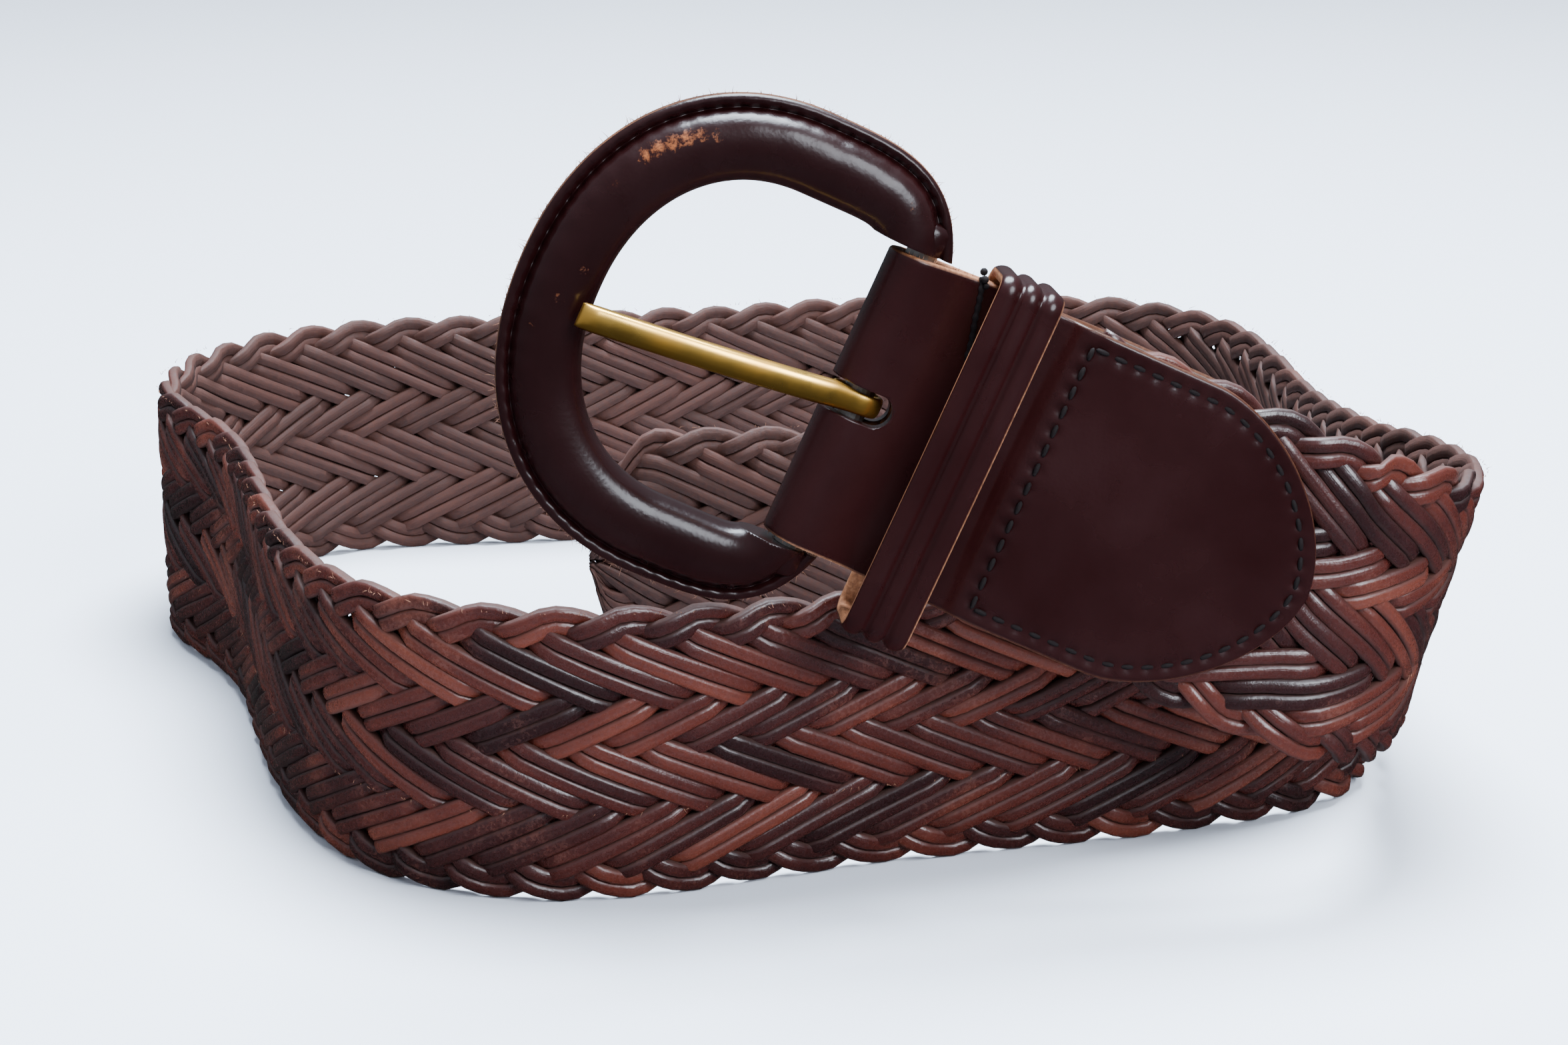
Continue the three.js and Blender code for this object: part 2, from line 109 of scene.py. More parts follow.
# Leather end and keeper
LEATHER = 2.2 * MM
BRAID_THICKNESS = 4.5 * MM
CHAPE_HALF = 24.7 * MM
FOLD_HALF = 23.7 * MM
ROUNDED_END = 27 * MM
STRAIGHT_END = CHAPE_LENGTH - ROUNDED_END
PINCH_START = 9.5 * MM
RAMP_LENGTH = 7 * MM
BAR_RADIUS = 2.5 * MM
GAP = 0.3 * MM
FOLD_RADIUS = BAR_RADIUS + GAP + LEATHER
KEEPER_START = 11.4 * MM
KEEPER_WIDTH = 10.3 * MM
KEEPER_LEATHER = 2 * MM
KEEPER_SPARE = 3.4 * MM
KEEPER_ROOM = 5.6 * MM
KEEPER_DROP = 2.4 * MM
KEEPER_CORNER = 3.2 * MM

# Buckle
WINDOW_SPARE = 0.8 * MM
WINDOW_REACH = 42.6 * MM
FRAME_BACK = 7 * MM
RING_WIDTH = 12.9 * MM
FLANGE_THICKNESS = 2.8 * MM
PRONG_WIDTH = 4.2 * MM
PRONG_THICKNESS = 3 * MM
PRONG_TIP = 44.4 * MM
PRONG_SAG = math.radians(5.6)

# The coil's middle line, as in the part's source: shares of the coil's span, share of the strap's height
# at the leather's end, and lean outward at the top in degrees. The last two are 0 where they aren't given.
COIL_ROUTE = [
    # x, y, lift, lean
    (0.366, -0.427, 1.00, -4), (0.412, -0.409, 0.83, 5), (0.445, -0.368, 0.69, 13),
    (0.467, -0.304, 0.57, 15), (0.480, -0.217, 0.43, 10), (0.477, -0.133, 0.29, 5),
    (0.465, -0.042, 0.16, 2), (0.453, 0.063, 0.05, 1), (0.445, 0.179), (0.436, 0.283), (0.414, 0.371),
    (0.366, 0.436), (0.295, 0.466), (0.196, 0.471), (0.096, 0.462), (-0.046, 0.428), (-0.188, 0.395),
    (-0.288, 0.383), (-0.362, 0.366), (-0.424, 0.325), (-0.469, 0.266), (-0.488, 0.193), (-0.478, 0.116),
    (-0.437, 0.045), (-0.396, -0.045), (-0.356, -0.190), (-0.318, -0.297, 0, 1), (-0.279, -0.366, 0, 2),
    (-0.236, -0.410, 0, 3), (-0.190, -0.434, 0, 4), (-0.100, -0.444, 0, 5), (-0.013, -0.424, 0, 8),
    (0.077, -0.393, 0, 10), (0.217, -0.360, 0, 12), (0.312, -0.326, 0, 9), (0.363, -0.302, 0, 6),
    (0.402, -0.272, 0, 3), (0.432, -0.235, 0, 1), (0.443, -0.180), (0.433, -0.118), (0.396, -0.066),
    (0.341, -0.027), (0.268, -0.005), (0.146, 0.003), (0.021, 0.000), (-0.131, -0.006),
]

END_ROUNDNESS = 1.7
CHAPE_STEP = 0.55 * MM
CHAPE_COLUMNS = 90
CHAPE_BACK_COLUMNS = 16
CHAPE_LEAST_HALF = 0.15 * MM
CHAPE_EDGE = 0.45 * MM
BEVEL_IN, BEVEL_DOWN, BEVEL_RAW = 0.3, 0.35, 0.55
RAW_FADE, RAW_FADE_MOST = 6 * MM, 0.8
SLOT_SPARE = 0.5 * MM
SLOT_END = 3.1 * MM
SLOT_TURN = 1.57
# Stitches: places and spacing, and a dent's width and depth.
STITCH_ROW = 29.4 * MM
STITCH_INSET = 2.5 * MM
ROW_INSET = 1.9 * MM
CHAPE_STITCH = 3.05 * MM
CHAPE_DENT = (0.95 * MM, 0.42 * MM)
RING_STITCH = 2.75 * MM
RING_DENT = (0.8 * MM, 0.45 * MM)
# Threads: depth of the middle, length as a share of the spacing, and radius.
CHAPE_THREAD = (0.38 * MM, 0.72, 0.42 * MM)
RING_THREAD = (0.32 * MM, 0.7, 0.36 * MM)
THREAD_RINGS = [(-0.5, 0.25), (-0.38, 0.8), (0, 1.0), (0.38, 0.8), (0.5, 0.25)]
THREAD_CORNERS = 8
# The seam's thread and its knots, (u, v, n) in millimetres.
SEAM_LINE = [
    (9.6, 25.0, 1.9), (10.2, 23.4, 2.5), (10.9, 20.6, 2.45), (11.3, 18.6, 2.6), (12.1, 15.8, 2.4),
    (12.7, 12.4, 2.3),
]
SEAM_KNOTS = [((9.5, 25.9, 2.0), 0.62), ((10.0, 24.9, 2.7), 0.66), ((10.6, 24.1, 2.9), 0.5)]
SEAM_STEP = 0.4
# Keeper's grooves and worn edges: depth and width.
KEEPER_GROOVE = (0.62 * MM, 0.5 * MM)
KEEPER_EDGE = (0.5 * MM, 0.35 * MM)
KEEPER_RIB = 0.16 * MM
KEEPER_BOW = 0.45 * MM

RING_STEPS = 420
RING_STITCH_SHARE = 0.842
RING_CLEAR_ACROSS = CHAPE_HALF + 1.2 * MM
RING_CLEAR_ALONG = 8 * MM
RING_WRINKLE = 0.09 * MM
# Height from which the front threads are sunk.
RING_THREAD_LEVEL = 0.7 * MM

# The padded ring's section: share of its width from the inner edge, and height in millimetres.
RING_FRONT = [
    (1.0, 0.5), (0.992, 1.15), (0.965, 1.6), (0.93, 1.82), (0.89, 1.75), (0.862, 1.45), (0.842, 1.2),
    (0.822, 1.55), (0.79, 2.45), (0.74, 3.4), (0.66, 4.25), (0.56, 4.78), (0.45, 5.0), (0.32, 4.9),
    (0.2, 4.45), (0.11, 3.7), (0.05, 2.7), (0.015, 1.6), (0.0, 0.7),
]
RING_BACK = [
    (0.004, -0.9), (0.03, -2.0), (0.1, -2.95), (0.22, -3.45), (0.4, -3.55), (0.55, -3.2), (0.65, -2.5),
    (0.72, -1.75), (0.8, -1.4), (0.95, -1.35), (0.99, -1.0), (1.0, -0.4),
]
# Worn places on the ring's front: u, v and reach in millimetres, and strength.
RING_SCUFFS = [
    (-44.6, 21.6, 2.0, 0.5), (-43.4, 23.4, 2.0, 0.56), (-41.8, 25.0, 2.0, 0.56), (-40.0, 26.5, 2.0, 0.54),
    (-38.2, 27.7, 2.0, 0.48), (-36.2, 28.6, 2.0, 0.42), (-47.2, 15.8, 1.8, 0.4), (-46.1, 2.4, 1.8, 0.38),
    (-48.0, -3.1, 1.7, 0.4), (-5.1, 30.7, 1.6, 0.38), (-50.0, -8.5, 1.6, 0.36),
]
# A lug's outline: radius, and depth into the ring, in millimetres.
LUG_PROFILE = [(0, 0.0), (2.9, 0.0), (3.15, 0.25), (3.2, 1.4), (3.15, 3.4), (2.5, 4.4), (1.2, 4.9), (0, 5.0)]
LUG_LEAST_RADIUS = 0.02
SOLID_CORNERS = 24
PRONG_EYE_THICKNESS = 1.4 * MM
PRONG_EYE_WIDTH = 3.3 * MM
PRONG_STEP = 0.55 * MM
PRONG_ROUND = 2.2 * MM
# The prong's middle line between eye and tip, (u, n) in millimetres.
PRONG_LINE = [(-3.4, 4.1), (-9, 5.3), (-22, 7.0), (-36, 6.95)]
PRONG_TIP_HEIGHT = 6.5 * MM
# Loose fibres: how many, and the longest. A fibre's radius in millimetres at shares of its length.
RING_FIBRES = (420, 1.2 * MM)
FOLD_FIBRES = (90, 0.7 * MM)
BRAID_FIBRES = (420, 1.1 * MM)
FIBRE_SHAPE = [(0, 0.065), (0.5, 0.045), (1.0, 0.012)]
FIBRE_CORNERS = 3
SQUARENESS_BAR = 3.3
SQUARENESS_BAR_INSIDE = 9
SQUARENESS_FAR = 2.15


def unit(vectors):
    return vectors / np.linalg.norm(vectors, axis=-1, keepdims=True)


def run_length(points):
    """Length along a line at each of its points."""
    return np.concatenate([[0], np.cumsum(np.linalg.norm(np.diff(points, axis=0), axis=1))])


def interpolate(at, length, values):
    return np.stack([np.interp(at, length, values[:, i]) for i in range(values.shape[1])], axis=-1)


def strap_axes(along, lean):
    """Along the strap, across it (up where it stands) and out of its front face."""
    up = np.array([0.0, 0.0, 1.0])
    across = unit(up - along * along[..., 2:3])
    outward = np.cross(along, across)
    lean = np.asarray(lean)[..., None]
    across = unit(across * np.cos(lean) + outward * np.sin(lean))
    return along, across, np.cross(along, across)


def rest_height(lean):
    return BELT_WIDTH / 2 * np.cos(lean) + EDGE_FLAT / 2 * np.abs(np.sin(lean))


def spline(knots, values, start_slope):
    """Cubic spline with a given slope at its start and no bend at its end."""
    count = len(knots)
    step = np.diff(knots)
    slope = np.diff(values) / step
    within = 2 * (step[:-1] + step[1:])
    system = np.diag(np.concatenate([[2 * step[0]], within, [1]]))
    system += np.diag(step, 1) + np.diag(np.append(step[:-1], 0), -1)
    right = np.append(6 * np.diff(slope, prepend=start_slope), 0)
    bend = np.linalg.solve(system, right)

    def at(x):
        i = np.clip(np.searchsorted(knots, x) - 1, 0, count - 2)
        b = (x - knots[i]) / step[i]
        a = 1 - b
        curve = (a**3 - a) * bend[i] + (b**3 - b) * bend[i + 1]
        return a * values[i] + b * values[i + 1] + curve * step[i] ** 2 / 6

    return at


def lead_axes():
    along = np.array([
        math.cos(STRAP_FALL) * math.cos(STRAP_HEADING),
        math.cos(STRAP_FALL) * math.sin(STRAP_HEADING),
        -math.sin(STRAP_FALL),
    ])
    return strap_axes(along, math.radians(COIL_ROUTE[0][3]))


class Route:
    """The strap's middle line and axes by length from the bar."""

    def __init__(self, bar):
        table = np.array([(*row, 0, 0)[:4] for row in COIL_ROUTE], float)
        along, across, outward = lead_axes()
        lead_end = bar + along * LEAD_LENGTH
        lean = np.radians(table[:, 3])
        points = np.empty((len(table), 3))
        points[:, :2] = table[:, :2] * COIL_SPAN + lead_end[:2] - table[0, :2] * COIL_SPAN
        points[:, 2] = rest_height(lean) + table[:, 2] * (lead_end[2] - rest_height(0))
        points[0] = lead_end
        knots = run_length(points)
        rest_knot = knots[int(np.argmax(table[:, 2] == 0))]
        at = np.arange(0, knots[-1], 0.5 * MM)
        centre = np.stack([spline(knots, points[:, i], along[i])(at) for i in range(3)], axis=1)
        leans = spline(knots, lean, 0)(at)
        centre[:, 2] = np.where(at >= rest_knot, rest_height(leans), centre[:, 2])
        direction = unit(np.gradient(centre, axis=0))
        t, w, n = strap_axes(direction, leans)
        length = LEAD_LENGTH + run_length(centre)
        self.length = np.concatenate([[0], length])
        self.centre = np.vstack([bar, centre])
        self.along = np.vstack([along, t])
        self.across = np.vstack([across, w])
        self.outward = np.vstack([outward, n])
        self.total = float(length[-1])

    def place(self, at, across, outward):
        """Points of the strap from length along, distance across and distance out of its front face."""
        lines = (self.centre, self.along, self.across, self.outward)
        centre, t, w, n = (interpolate(at, self.length, line) for line in lines)
        extra = np.maximum(at - self.total, 0)[..., None]
        return centre + t * extra + unit(w) * across[..., None] + unit(n) * outward[..., None]


# Meshes


def add_object(name, data):
    obj = bpy.data.objects.new(name, data)
    bpy.context.scene.collection.objects.link(obj)
    return obj


def make_object(name, vertices, faces, material=None, attributes=(), smooth=True):
    mesh = bpy.data.meshes.new(name)
    mesh.from_pydata([tuple(v) for v in vertices], [], faces)
    for attribute, values in attributes:
        layer = mesh.attributes.new(attribute, "FLOAT", "POINT")
        layer.data.foreach_set("value", np.asarray(values, dtype=np.float32))
    mesh.polygons.foreach_set("use_smooth", [smooth] * len(mesh.polygons))
    mesh.update()
    if material:
        mesh.materials.append(material)
    return add_object(name, mesh)


def loop_faces(rows, size, base=0, joined=False):
    """Faces of rows of closed loops. Open lofts get a cap at each end."""
    faces = []
    count = rows if joined else rows - 1
    for i in range(count):
        here = base + i * size
        after = base + ((i + 1) % rows) * size
        for j in range(size):
            k = (j + 1) % size
            faces.append((here + j, after + j, after + k, here + k))
    if not joined:
        faces.append(tuple(base + j for j in range(size)))
        faces.append(tuple(base + (rows - 1) * size + j for j in reversed(range(size))))
    return faces


# Braid


def strand_course(strand, x, pitch, level_step):
    """Where a strand's middle runs: distance across, its slope, and how far it lies over or under."""
    half_turn = STRANDS / 2
    phase = (x / pitch - strand) % STRANDS
    slope = level_step / (pitch / 2)
    to_top = np.minimum(phase, STRANDS - phase) * pitch
    to_bottom = np.abs(phase - half_turn) * pitch
    across = half_turn * level_step - slope * to_top
    rising = np.where(phase < half_turn, -1.0, 1.0)
    grade = rising * slope
    for distance, sign in ((to_top, 1), (to_bottom, -1)):
        near = distance < EDGE_TURN
        edge = sign * half_turn * level_step
        rounded = edge - sign * slope * (distance**2 / (2 * EDGE_TURN) + EDGE_TURN / 2)
        across = np.where(near, rounded, across)
        grade = np.where(near, grade * distance / EDGE_TURN, grade)
    over = crossing_heights()
    crossing = phase * 2
    low = np.floor(crossing).astype(int)
    part = np.clip((crossing - low - SWAP_START) / (1 - 2 * SWAP_START), 0, 1)
    part = part * part * (3 - 2 * part)
    lift = over[low] * (1 - part) + over[(low + 1) % (2 * STRANDS)] * part
    return across, grade, lift


def crossing_heights():
    """How far a strand lies over or under at each crossing of one round: floats arch in their middle."""
    signs = []
    for j in range(2 * STRANDS + 1):
        going_down = j < STRANDS
        level = j if going_down else 2 * STRANDS - j
        on_top = (level in DOWN_ON_TOP) == going_down
        signs.append(0 if j % STRANDS == 0 else 1 if on_top else -1)
    heights = []
    for sign, crossings in itertools.groupby(signs):
        count = len(list(crossings))
        for place in range(1, count + 1):
            arch = math.sin(math.pi * (place / (count + 1)))
            heights.append(sign * (FLOAT_END + FLOAT_ARCH * arch))
    return np.array(heights)


def wobble(x, scale, shortest, waves=4):
    """A smooth random drift along x."""
    total = np.zeros_like(x)
    for _ in range(waves):
        wave = shortest * (1 + 3 * rng.random())
        total += np.sin(x / wave * 2 * math.pi + rng.random() * 2 * math.pi)
    return total * scale / waves


def drawn(least, spread):
    return least + spread * rng.random()


def make_strands(route, material):
    start = BRAID_START
    length = route.total - start
    pitch = length / round(length / SCALLOP_PITCH)
    level_step = (BELT_WIDTH - STRAND_WIDTH) / 2 / (STRANDS / 2 - EDGE_TURN / pitch)
    count = int(length / STRIP_STEP)
    x = np.linspace(0, length - TAIL_GAP, count)
    section = np.array(STRIP_SECTION)
    size = len(section)
    half_strip = STRAND_WIDTH / 4
    for first in range(0, STRANDS, STRANDS_PER_PIECE):
        vertices, faces, tones, runs = [], [], [], []
        for strand in range(first, first + STRANDS_PER_PIECE):
            across, grade, lift = strand_course(strand, x, pitch, level_step)
            stretch = np.hypot(1, grade)
            drift = wobble(x, *STRAND_DRIFT)
            strand_tone = drawn(*STRAND_TONE) + wobble(x, *STRAND_FADE)
            strand_roll = wobble(x, *STRAND_ROLL)
            for side in (-1, 1):
                half_width = half_strip * drawn(*STRIP_WIDTH_SHARE) + wobble(x, *STRIP_SWELL)
                middle = side * half_strip
                shift = middle + drift + wobble(x, *STRIP_DRIFT)
                rise = lift * WEAVE_RISE + np.sin(strand_roll) * middle + wobble(x, *STRIP_LIFT)
                roll = strand_roll + wobble(x, *STRIP_ROLL) - side * STRIP_TURN * lift
                half_thick = STRIP_THICKNESS / 2 * drawn(*STRIP_THICKNESS_SHARE)
                a = section[None, :, 0] * half_width[:, None]
                b = section[None, :, 1] * half_thick
                cos, sin = np.cos(roll)[:, None], np.sin(roll)[:, None]
                a, b = a * cos - b * sin, a * sin + b * cos
                sideways = shift[:, None] + a
                along = x[:, None] - sideways * (grade / stretch)[:, None]
                up = across[:, None] + sideways / stretch[:, None]
                out = rise[:, None] + b
                tip = np.clip((along - (length - TIP_LENGTH)) / TIP_LENGTH, 0, TIP_BLUNT)
                up = up * np.sqrt(1 - tip**2)
                points = route.place(start + np.maximum(along, 0), up, out)
                base = len(vertices) * size * count
                vertices.append(points.reshape(-1, 3))
                faces += loop_faces(count, size, base)
                tones.append(strand_tone + rng.normal(0, STRIP_TONE_SPREAD) + wobble(x, *STRIP_FADE))
                runs.append(x * stretch + strand * GRAIN_SHIFT)
        rows = len(vertices) * count
        values = [
            ("tint", np.repeat(np.concatenate(tones), size)),
            ("cut", np.tile(section[:, 2], rows)),
            ("back", np.tile(section[:, 1] < BACK_BELOW, rows)),
            ("run", np.repeat(np.concatenate(runs), size)),
            ("side", np.tile(section[:, 0] * half_strip, rows)),
        ]
        name = f"strands_{first // STRANDS_PER_PIECE + 1}"
        piece = make_object(name, np.vstack(vertices), faces, material, values)
        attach(piece, "strap")
        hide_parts("braid")


# Buckle end


class BuckleAxes:
    """The buckle end's own axes: u along the strap from the bar, v across it, n out of its front."""

    def __init__(self, bar):
        self.bar = bar
        self.u, self.v, self.n = lead_axes()

    def place(self, points):
        points = np.asarray(points, float)
        return self.bar + points[..., 0:1] * self.u + points[..., 1:2] * self.v + points[..., 2:3] * self.n


def smooth_line(points, step):
    """Evenly spaced points along a Catmull-Rom curve through the given ones."""
    points = np.asarray(points, float)
    padded = np.vstack([2 * points[0] - points[1], points, 2 * points[-1] - points[-2]])
    fine = []
    for i in range(1, len(padded) - 2):
        a, b, c, d = padded[i - 1:i + 3]
        t = np.linspace(0, 1, 24, endpoint=False)[:, None]
        square = 2 * a - 5 * b + 4 * c - d
        cube = 3 * b - a - 3 * c + d
        fine.append(0.5 * (2 * b + (c - a) * t + square * t**2 + cube * t**3))
    fine = np.vstack(fine + [points[-1:]])
    length = run_length(fine)
    at = np.linspace(0, length[-1], max(2, int(round(length[-1] / step)) + 1))
    return interpolate(at, length, fine)


def plane_normals(line):
    along = unit(np.gradient(line, axis=0))
    return np.stack([-along[:, 1], along[:, 0]], axis=1)


def chape_half_width(u):
    """Half width of the leather end at a distance from the bar."""
    into_end = np.clip((u - STRAIGHT_END) / ROUNDED_END, 0, 1)
    rounded = CHAPE_HALF * np.maximum(1 - into_end**END_ROUNDNESS, 0) ** (1 / END_ROUNDNESS)
    to_keeper = np.clip((u + FOLD_RADIUS) / (KEEPER_START + FOLD_RADIUS), 0, 1)
    tapered = FOLD_HALF + (CHAPE_HALF - FOLD_HALF) * to_keeper
    return np.where(u > STRAIGHT_END, rounded, tapered)


def chape_stitches():
    """Middles and directions of the stitches on the leather end: one straight row and one round its edge."""
    inset_end = ROUNDED_END - STITCH_INSET
    inset_half = CHAPE_HALF - STITCH_INSET
    angle = np.linspace(math.pi / 2, -math.pi / 2, 120)
    power = 2 / END_ROUNDNESS
    curve = np.stack([
        STRAIGHT_END + inset_end * np.abs(np.cos(angle)) ** power,
        inset_half * np.sign(np.sin(angle)) * np.abs(np.sin(angle)) ** power,
    ], axis=1)
    row_half = CHAPE_HALF - ROW_INSET
    around = np.vstack([[[STITCH_ROW, inset_half]], curve, [[STITCH_ROW, -inset_half]]])
    straight = np.array([[STITCH_ROW, row_half], [STITCH_ROW, -row_half]])
    return [evenly(line, CHAPE_STITCH) for line in (around, straight)]


def circle(middle, side, top, radius, corners):
    angles = [2 * math.pi * i / corners for i in range(corners)]
    return [middle + (side * math.cos(a) + top * math.sin(a)) * radius for a in angles]


def evenly(line, pitch):
    """Points at even spacing along a polyline, with the direction at each."""
    length = run_length(line)
    count = int(length[-1] / pitch)
    at = (np.arange(count) + 0.5) * length[-1] / count
    reach = pitch / 4
    ahead, behind = (interpolate(at + shift, length, line) for shift in (reach, -reach))
    return interpolate(at, length, line), unit(ahead - behind)


def dents(points, stitches, width, depth):
    """How far leather sinks at points round stitch holes."""
    sink = np.zeros(len(points))
    for here, _ in stitches:
        for centre in here:
            away = np.sum((points - centre) ** 2, axis=1)
            sink = np.maximum(sink, depth * np.exp(-away / width**2))
    return sink


def capsule(centre, direction, normal, length, radius):
    """Points of a short rounded thread."""
    direction = unit(direction)
    side = unit(np.cross(normal, direction))
    top = np.cross(direction, side)
    points = []
    for place, size in THREAD_RINGS:
        points += circle(centre + direction * place * length, side, top, radius * size, THREAD_CORNERS)
    return points


def make_threads(name, stitches, material, body):
    """One object of many stitches: (centre, direction, normal, length, radius)."""
    vertices, faces = [], []
    for stitch in stitches:
        faces += loop_faces(len(THREAD_RINGS), THREAD_CORNERS, len(vertices))
        vertices += capsule(*stitch)
    threads = make_object(name, vertices, faces, material)
    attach(threads, body)


def cut_away(obj, cutter):
    """Cuts a helper mesh out of obj for good."""
    modifier = obj.modifiers.new("cut", "BOOLEAN")
    modifier.operation = "DIFFERENCE"
    modifier.solver = "EXACT"
    modifier.object = cutter
    shaped = obj.evaluated_get(bpy.context.evaluated_depsgraph_get())
    mesh = bpy.data.meshes.new_from_object(shaped)
    obj.modifiers.clear()
    obj.data = mesh
    bpy.data.objects.remove(cutter)


def prism(axes, outline, low, high):
    """Helper solid with an outline of (u, v) points, from n low to n high."""
    count = len(outline)
    points = [(u, v, n) for n in (low, high) for u, v in outline]
    faces = [tuple(reversed(range(count))), tuple(range(count, 2 * count))]
    for i in range(count):
        j = (i + 1) % count
        faces.append((i, j, count + j, count + i))
    return make_object("cutter", axes.place(points), faces, smooth=False)


def chape_path():
    """Middle line of the leather as (u, n): front patch, pinch, fold round the bar, pinch, back patch."""
    pocket = BRAID_THICKNESS / 2 + GAP
    patch = pocket + LEATHER / 2
    pinch = LEATHER / 2
    ramp = BRAID_START - RAMP_LENGTH
    front = [
        (CHAPE_LENGTH, patch), (CHAPE_LENGTH * 0.8, patch), (BRAID_START + 12 * MM, patch),
        (BRAID_START + 2 * MM, patch * 0.97), (BRAID_START - 2.5 * MM, patch * 0.78),
        (ramp + 1.5 * MM, pinch * 1.35), (ramp - 2 * MM, pinch), (PINCH_START + 4 * MM, pinch),
        (PINCH_START + 1.2 * MM, pinch * 1.05), (PINCH_START - 1.4 * MM, pinch * 1.4),
    ]
    radius = FOLD_RADIUS - LEATHER / 2
    turns = np.radians([66, 80, 95, 110, 130, 155, 180])
    fold = [(radius * math.cos(a), radius * math.sin(a)) for a in turns]
    half = smooth_line(front + fold, CHAPE_STEP)
    back = half[:-1][::-1] * np.array([1, -1])
    return np.vstack([half, back])


def make_chape(axes, material, thread):
    path = chape_path()
    # The normals point out of the front patch, and so out of the fold all along.
    normals = plane_normals(path)
    normals *= np.sign(normals[0, 1])
    half_width = np.maximum(chape_half_width(path[:, 0]), CHAPE_LEAST_HALF)
    outer_across = np.linspace(-1, 1, CHAPE_COLUMNS)
    inner_across = np.linspace(1, -1, CHAPE_BACK_COLUMNS)
    thick = LEATHER / 2
    rows = []
    raws = []
    for half in half_width:
        edge = min(CHAPE_EDGE, half / 3)
        flat = half - edge
        beside, below = half - edge * BEVEL_IN, thick - edge * BEVEL_DOWN
        right = [(beside, below, BEVEL_RAW), (half, thick - edge, 1), (half, 0, 1)]
        right += [(half, edge - thick, 1), (beside, -below, 1)]
        ring = [(v * flat, thick, 0) for v in outer_across] + right
        ring += [(v * flat, -thick, 1) for v in inner_across]
        ring += [(-v, offset, raw) for v, offset, raw in reversed(right)]
        rows.append([(v, offset) for v, offset, _ in ring])
        raws.append([raw for _, _, raw in ring])
    rows = np.array(rows)
    bare = 1 - np.clip((path[:, None, 0] - PINCH_START) / RAW_FADE, 0, RAW_FADE_MOST)
    raws = np.array(raws) * bare
    u = path[:, None, 0] + normals[:, None, 0] * rows[:, :, 1]
    n = path[:, None, 1] + normals[:, None, 1] * rows[:, :, 1]
    v = rows[:, :, 0].copy()
    stitches = chape_stitches()
    outer = rows[:, :, 1] > thick * 0.6
    flat_uv = np.stack([np.broadcast_to(path[:, None, 0], v.shape), v], axis=-1).reshape(-1, 2)
    on_patch = (flat_uv[:, 0] > STITCH_ROW - 4 * MM) & outer.reshape(-1)
    sink = np.zeros(len(flat_uv))
    sink[on_patch] = dents(flat_uv[on_patch], stitches, *CHAPE_DENT)
    row_away = np.abs(flat_uv[:, 0] - STITCH_ROW)
    sink += np.where(on_patch, 0.16 * MM * np.exp(-(row_away / (1.1 * MM)) ** 2), 0)
    swell = 0.22 * MM * np.sin(flat_uv[:, 0] / (17 * MM)) * np.cos(flat_uv[:, 1] / (13 * MM))
    sink -= np.where(on_patch, swell, 0)
    sink = sink.reshape(v.shape)
    u = u - normals[:, None, 0] * sink
    n = n - normals[:, None, 1] * sink
    near_keeper = np.exp(-((path[:, None, 0] - 8 * MM) / (4 * MM)) ** 2)
    sagging = 0.35 * MM * np.sin(v / (9 * MM) + 0.6) * near_keeper
    n = n + sagging * np.sign(path[:, None, 1])
    points = axes.place(np.stack([u, v, n], axis=-1)).reshape(-1, 3)
    count, size = v.shape
    chape = make_object(
        "leather_end", points, loop_faces(count, size), material,
        [("raw", raws.reshape(-1))],
    )
    half_slot = PRONG_WIDTH / 2 + SLOT_SPARE
    turns = np.linspace(-SLOT_TURN, SLOT_TURN, 14)
    arc = [(SLOT_END + half_slot * math.cos(a), half_slot * math.sin(a)) for a in turns]
    outline = [(-2 * FOLD_RADIUS, -half_slot), *arc, (-2 * FOLD_RADIUS, half_slot)]
    cut_away(chape, prism(axes, outline, -2 * FOLD_RADIUS, 2 * FOLD_RADIUS))
    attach(chape, "strap")
    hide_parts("chape")

    face = BRAID_THICKNESS / 2 + GAP + LEATHER
    deep, share, radius = CHAPE_THREAD
    made = []
    for here, direction in stitches:
        for (su, sv), (du, dv) in zip(here, direction):
            for front in (1, -1):
                centre = axes.place((su, sv, front * (face - deep)))
                along = axes.u * du + axes.v * dv
                made.append((centre, along, axes.n * front, CHAPE_STITCH * share, radius))
    make_threads("end_stitches", made, thread, "strap")


def make_seam(axes, thread):
    """The thick thread between the fold and the keeper, with its knots."""
    line = smooth_line(SEAM_LINE, SEAM_STEP) * MM
    along = unit(np.gradient(line, axis=0))
    vertices = []
    for i, (place, direction) in enumerate(zip(line, along)):
        side = unit(np.cross(direction, (0, 0, 1)))
        top = np.cross(side, direction)
        radius = (0.42 + 0.1 * math.sin(i * 1.7)) * MM
        vertices += circle(place, side, top, radius, THREAD_CORNERS)
    faces = loop_faces(len(line), THREAD_CORNERS)
    x, y, z = np.eye(3) * MM
    rings, around = 7, 12
    for place, radius in SEAM_KNOTS:
        faces += loop_faces(rings, around, len(vertices))
        for ring in range(rings):
            polar = math.pi * (ring + 0.5) / rings
            middle = np.array(place) * MM + z * math.cos(polar) * radius
            vertices += circle(middle, x, y, math.sin(polar) * radius, around)
    seam = make_object("seam_thread", axes.place(vertices), faces, thread)
    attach(seam, "strap")


